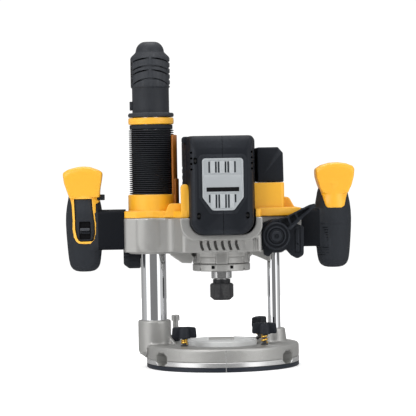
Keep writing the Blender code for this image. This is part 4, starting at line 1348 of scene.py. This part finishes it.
# The lever's arm, and the cells between its ribs.
ARM = [(44.5, 149), (52, 156.8), (66, 160.2), (92, 172.6), (97.6, 174), (98.3, 170.6), (88, 162), (72, 147)]
CELLS = (
    [(53, 154.2), (59.6, 156.6), (61.2, 150), (56, 150.6)],
    [(61.6, 157.2), (68.4, 159.8), (71.4, 151.6), (66.4, 147.8), (63.2, 149.6)],
    [(70.4, 160.7), (76.4, 163.6), (78.6, 158), (73, 153)],
    [(78.3, 164.5), (90.4, 169.9), (91.8, 168.7), (80.2, 159.4)],
)


class BuildLever(bpy.types.Operator):
    """Plunge lock: round hub with rings, ribbed arm, and the plate behind it"""

    bl_idname = "router.build_lever"
    bl_label = "Plunge lock"

    def execute(self, context):
        spot = (HUB_X, 0, HUB_Z)
        arm = slab("plunge_lock_lever_skin", ARM, -53.6, -46.4, "Y")
        for cell in CELLS:
            cut(arm, slab("cell", cell, -60, -48.4, "Y"))
        soften(arm, 0.3, 2, 50)
        hub = turned("hub", [
            (0, -46.2), (15, -46.2), (15, -53.2), (14.5, -54.6), (13.4, -55.4), (12.7, -55.2), (12.4, -53.9),
            (10.7, -53.9), (10.3, -55.6), (9.2, -56.2), (8.6, -55.8), (8.4, -54.7), (7.5, -54.7),
            (7.2, -56.2), (5.4, -56.4), (0, -56.4),
        ], spot, "Y", 96)
        join(arm, hub)
        finish(arm, "black", "lock_lever", ["plunge_lock_lever"])
        bolt = turned("lock_bolt_skin", [
            (0, -40), (3, -40), (3, -55), (5.6, -55.2), (5.6, -58.4), (4.9, -59.3), (2.4, -59.6), (2, -58.6),
            (0, -58.6),
        ], spot, "Y", 48)
        finish(bolt, "black", "lock_lever", ["lock_bolt"])

        plate = slab("lever_plate_skin", rounded([
            (42.4, 155, 3), (42.2, 131, 3), (43.6, 120.5, 3), (48.6, 118.2, 3), (53, 123, 3), (60, 127, 4),
            (66, 127, 3), (72.4, 119.4, 3), (79, 115.6, 5), (86, 119.6, 5), (86.4, 150, 3), (72, 155.6, 2),
            (58, 158, 2),
        ], 6), -45.2, -38.7, "Y")
        soften(plate, 0.9, 3, 40)
        rim = [(76.2, 150, 1), (76.2, 121.5, 2.4), (82.8, 121.5, 2.4), (82.8, 150, 1)]
        cut(plate, slab("u_slot", rounded(rim, 5), -50, -44.2, "Y"))
        join(plate, soften(slab("tongue", rounded([
            (77.4, 147, 1), (77.4, 123, 1.8), (81.6, 123, 1.8), (81.6, 147, 1),
        ], 5), -45.4, -43, "Y"), 0.4, 2))
        cut(plate, rod("pin", 1.0, -60, -43.6, (79.6, 0, 131.5), "Y", 20, 0.1))
        flange = turned("flange", [
            (0, -38.8), (18, -38.8), (18, -44.6), (17, -45.6), (0, -45.6),
        ], spot, "Y", 96)
        join(plate, flange)
        finish(plate, "black", "head", ["lever_plate"])
        tab = slab("lever_stop_tab", rounded([
            (74.4, 155.4, 0.5), (79.8, 155.4, 0.5), (80.6, 162.4, 0.5), (76, 160.4, 0.5),
        ], 3), -46.6, -40.6, "Y")
        finish(soften(tab, 0.3, 2), "cast", "head")
        return {"FINISHED"}


class BuildDepthStop(bpy.types.Operator):
    """Depth rod and the knob that clamps it"""

    bl_idname = "router.build_depth_stop"
    bl_label = "Depth stop"

    def execute(self, context):
        bar = turned("depth_rod_skin", [
            (0, 112), (3, 112), (3.5, 112.6), (3.5, 238.6), (2.6, 240), (0, 240),
        ], DEPTH_ROD, steps=48)
        for k in range(28):
            cut(bar, block("tick", (-70, -62), (33, 34.9), (150 + 2.5 * k, 150.3 + 2.5 * k)))
        finish(bar, "steel", "depth_rod", ["depth_rod"])
        knob = turned("depth_clamp_knob_skin", [
            (0, -105.8), (9.6, -105.8), (11.2, -105), (14.6, -100.4), (15, -99), (15, -88.4), (13.8, -87),
            (4.2, -87), (4.2, -69.9), (0, -69.9),
        ], DEPTH_KNOB, "X", 96)
        for u, v in round_points(16, DEPTH_KNOB_RADIUS + 0.7, *DEPTH_KNOB[1:]):
            cut(knob, rod("flute", 1.3, -101.5, -84, (0, u, v), "X", 16, 0.5))
        finish(knob, "black", "depth_knob", ["depth_clamp_knob"])
        return {"FINISHED"}


class BuildSpindle(bpy.types.Operator):
    """Spindle collar, collet nut and the spindle lock button"""

    bl_idname = "router.build_spindle"
    bl_label = "Spindle and collet nut"

    def execute(self, context):
        shaft = turned("spindle_shaft_skin", [
            (0, 84), (7.6, 84), (7.6, 94), (10.2, 94.2), (11, 95), (11, 101.6), (10.4, 102.4), (8, 102.4),
            (8, 236), (0, 236),
        ], steps=72)
        cut(
            shaft, block("flat", (-20, 20), (-20, -9.9), (93, 103)),
            block("flat", (-20, 20), (9.9, 20), (93, 103)),
        )
        finish(shaft, "steel", "spindle", ["spindle_shaft"])
        nut = slab("collet_nut_skin", round_points(6, 12.6), 71, 89)
        boolean(nut, [turned("chamfer", [
            (0, 70.9), (8.8, 70.9), (12.6, 74.4), (12.6, 87.4), (11, 89.1), (0, 89.1),
        ], steps=72)], "INTERSECT")
        cut(nut, turned("bore", [(0, 70), (6.4, 70), (7.6, 76), (7.6, 92), (0, 92)], steps=48))
        join(nut, tube("neck", 9.4, 7.65, 88.6, 93.4, ORIGIN, "Z", 60))
        finish(nut, "dark_steel", "spindle", ["collet_nut"])
        collet = turned("collet_skin", [(3.2, 75.4), (6, 75.4), (7.4, 80), (7.4, 95), (3.2, 95)], steps=48)
        for k in range(4):
            cut(collet, turn_mesh(block("slit", (-9, 9), (-0.35, 0.35), (74, 90)), math.pi * k / 4))
        finish(collet, "steel", "spindle", ["collet"])
        button = turned("spindle_lock_button_skin", [
            (0, 25), (3.5, 25), (3.5, 34.3), (5.5, 34.3), (5.5, 37.4), (4.6, 38.3), (0, 38.3),
        ], (0, 0, 107), "Y", 48)
        finish(button, "black", "spindle_lock", ["spindle_lock_button"])
        return {"FINISHED"}


# ---------------------------------------------------------------- remaining nodes, stage


# Lamp, power, size, place and the point it faces, in metres.
LAMPS = (
    ("key", 17, 1.2, (-1.3, -1.9, 1.5), (0, 0, 0.18)),
    ("fill", 9, 1.4, (1.7, -1.6, 1.0), (0, 0, 0.16)),
    ("top", 20, 1.4, (0, 0.2, 2.2), (0, 0, 0.1)),
)
FOCAL_LENGTH = 173
CAMERA_SPOT = (-0.0730, -2.1588, 0.207)
CAMERA_YAW, CAMERA_PITCH, CAMERA_ROLL = 1.9, 0.97, -1.0
PAPER_TONE, PAPER_GLOW = 0.93, 0.3


# The finish of a CAD node is the first one listed for its slot.
NODE_FINISH = {slot: name for name, slot in reversed(SLOTS.items())}


class FinishFrame(bpy.types.Operator):
    """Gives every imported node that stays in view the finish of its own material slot"""

    bl_idname = "router.finish_frame"
    bl_label = "Remaining pieces"

    def execute(self, context):
        slots = {row["node"]: row["material_slot"] for row in frame["record"]["subparts"]}
        for name, node in frame["nodes"].items():
            chosen = FINISH[NODE_FINISH[slots[name]]]
            for holder in node.material_slots:
                holder.material = chosen
            if not node.material_slots:
                node.data.materials.append(chosen)
        return {"FINISHED"}


# Brightness of the studio as polished metal sees it, by bearing: 0 behind the object, 0.5 in front of it.
STUDIO_BANDS = (
    (0.0, 0.30), (0.12, 0.34), (0.24, 0.5), (0.29, 0.5), (0.30, 1.35), (0.39, 1.35), (0.41, 0.22),
    (0.58, 0.22), (0.60, 1.35), (0.65, 1.35), (0.67, 0.6), (0.73, 0.55), (0.80, 0.28), (1.0, 0.30),
)


def studio_world():
    """White room; polished metal sees soft boxes with dark gaps between them."""
    world = bpy.data.worlds.new("studio")
    world.use_nodes = True
    tree = world.node_tree
    glow = tree.nodes["Background"]
    bearing = tree.nodes.new("ShaderNodeSeparateXYZ")
    tree.links.new(tree.nodes.new("ShaderNodeTexCoord").outputs["Generated"], bearing.inputs[0])
    angle = math_node(
        tree, "ARCTAN2", bearing.outputs["X"], math_node(tree, "MULTIPLY", bearing.outputs["Y"], -1.0),
    )
    share = math_node(tree, "ADD", math_node(tree, "MULTIPLY", angle, 1 / TAU), 0.5)
    ramp = tree.nodes.new("ShaderNodeValToRGB")
    ramp.color_ramp.interpolation = "EASE"
    points = ramp.color_ramp.elements
    points[0].position, points[1].position = 0.0, 1.0
    points[0].color = points[1].color = (STUDIO_BANDS[0][1],) * 3 + (1,)
    for place, level in STUDIO_BANDS[1:-1]:
        points.new(place).color = (level, level, level, 1)
    tree.links.new(share, ramp.inputs["Fac"])
    overhead = tree.nodes.new("ShaderNodeMapRange")
    for label, value in (("From Min", 0.45), ("From Max", 0.75)):
        overhead.inputs[label].default_value = value
    tree.links.new(bearing.outputs["Z"], overhead.inputs["Value"])
    rays = tree.nodes.new("ShaderNodeLightPath")

    def mixed(factor, first, second):
        node = tree.nodes.new("ShaderNodeMix")
        node.data_type = "RGBA"
        tree.links.new(factor, node.inputs["Factor"])
        for socket, value in (("A", first), ("B", second)):
            if isinstance(value, float):
                node.inputs[socket].default_value = (value, value, value, 1)
            else:
                tree.links.new(value, node.inputs[socket])
        return node.outputs["Result"]

    seen = mixed(overhead.outputs["Result"], ramp.outputs["Color"], 0.95)
    room = mixed(rays.outputs["Is Glossy Ray"], 0.85, seen)
    tree.links.new(mixed(rays.outputs["Is Camera Ray"], room, 1.05), glow.inputs["Color"])
    return world


class BuildStage(bpy.types.Operator):
    """Pale floor, soft studio light and the camera"""

    bl_idname = "router.build_stage"
    bl_label = "Stage, light and camera"

    def execute(self, context):
        paper = bpy.data.materials.new("paper")
        paper.use_nodes = True
        tone = paper.node_tree.nodes["Principled BSDF"]
        tone.inputs["Base Color"].default_value = (PAPER_TONE, PAPER_TONE, PAPER_TONE, 1)
        tone.inputs["Roughness"].default_value = 0.9
        tone.inputs["Emission Color"].default_value = (1, 1, 1, 1)
        tone.inputs["Emission Strength"].default_value = PAPER_GLOW
        clear_selection()
        bpy.ops.mesh.primitive_plane_add(size=2.4, location=(0, 0, 0))
        floor = context.active_object
        floor.name = "floor"
        floor.data.materials.append(paper)
        floor.visible_glossy = False

        context.scene.view_settings.view_transform = "Standard"
        context.scene.world = studio_world()
        for name, energy, size, spot, target in LAMPS:
            lamp = bpy.data.lights.new(name, "AREA")
            lamp.energy, lamp.size = energy, size
            holder = bpy.data.objects.new(name, lamp)
            holder.location = spot
            holder.rotation_euler = (Vector(target) - Vector(spot)).to_track_quat("-Z", "Y").to_euler()
            context.scene.collection.objects.link(holder)

        lens = bpy.data.cameras.new("camera")
        lens.lens, lens.sensor_width = FOCAL_LENGTH, 36
        lens.clip_end = 50
        camera = bpy.data.objects.new("camera", lens)
        context.scene.collection.objects.link(camera)
        spot = Vector(CAMERA_SPOT)
        yaw, pitch, roll = (math.radians(angle) for angle in (CAMERA_YAW, CAMERA_PITCH, CAMERA_ROLL))
        look = Vector((math.sin(yaw) * math.cos(pitch), math.cos(yaw) * math.cos(pitch), -math.sin(pitch)))
        facing = look.to_track_quat("-Z", "Y").to_matrix().to_4x4()
        camera.matrix_world = Matrix.Translation(spot) @ facing @ Matrix.Rotation(roll, 4, "Z")
        context.scene.camera = camera
        return {"FINISHED"}


# ---------------------------------------------------------------- panel and registration


STEPS = (
    BuildBase, BuildShroud, BuildColumns, BuildBellows, BuildAdapter, BuildClamps, BuildCasting,
    BuildHousings, BuildCovers, BuildBadge, BuildGrips, BuildSwitches, BuildLever, BuildDepthStop,
    BuildSpindle, FinishFrame, BuildStage,
)


class RouterPanel(bpy.types.Panel):
    """Lists the router's settings and building steps"""

    bl_idname = "VIEW3D_PT_router"
    bl_label = "Plunge router"
    bl_space_type = "VIEW_3D"
    bl_region_type = "UI"
    bl_category = "Router"

    def draw(self, context):
        for group in (context.scene.router_colours, context.scene.router_sizes):
            box = self.layout.box()
            for name in group.bl_rna.properties.keys():
                if name not in ("rna_type", "name"):
                    box.prop(group, name)
        for step in STEPS:
            self.layout.operator(step.bl_idname, text=step.bl_label)


CLASSES = (RouterColours, RouterSizes, *STEPS, RouterPanel)


def register():
    """Registers the classes and both groups of settings."""
    for item in CLASSES:
        bpy.utils.register_class(item)
    bpy.types.Scene.router_colours = PointerProperty(type=RouterColours)
    bpy.types.Scene.router_sizes = PointerProperty(type=RouterSizes)


def unregister():
    """Takes the settings and classes away again."""
    del bpy.types.Scene.router_sizes
    del bpy.types.Scene.router_colours
    for item in reversed(CLASSES):
        bpy.utils.unregister_class(item)


def main():
    """Builds everything in order."""
    register()
    make_finishes(bpy.context.scene.router_colours)
    for step in STEPS:
        group, name = step.bl_idname.split(".")
        getattr(getattr(bpy.ops, group), name)()


if __name__ == "__main__":
    main()
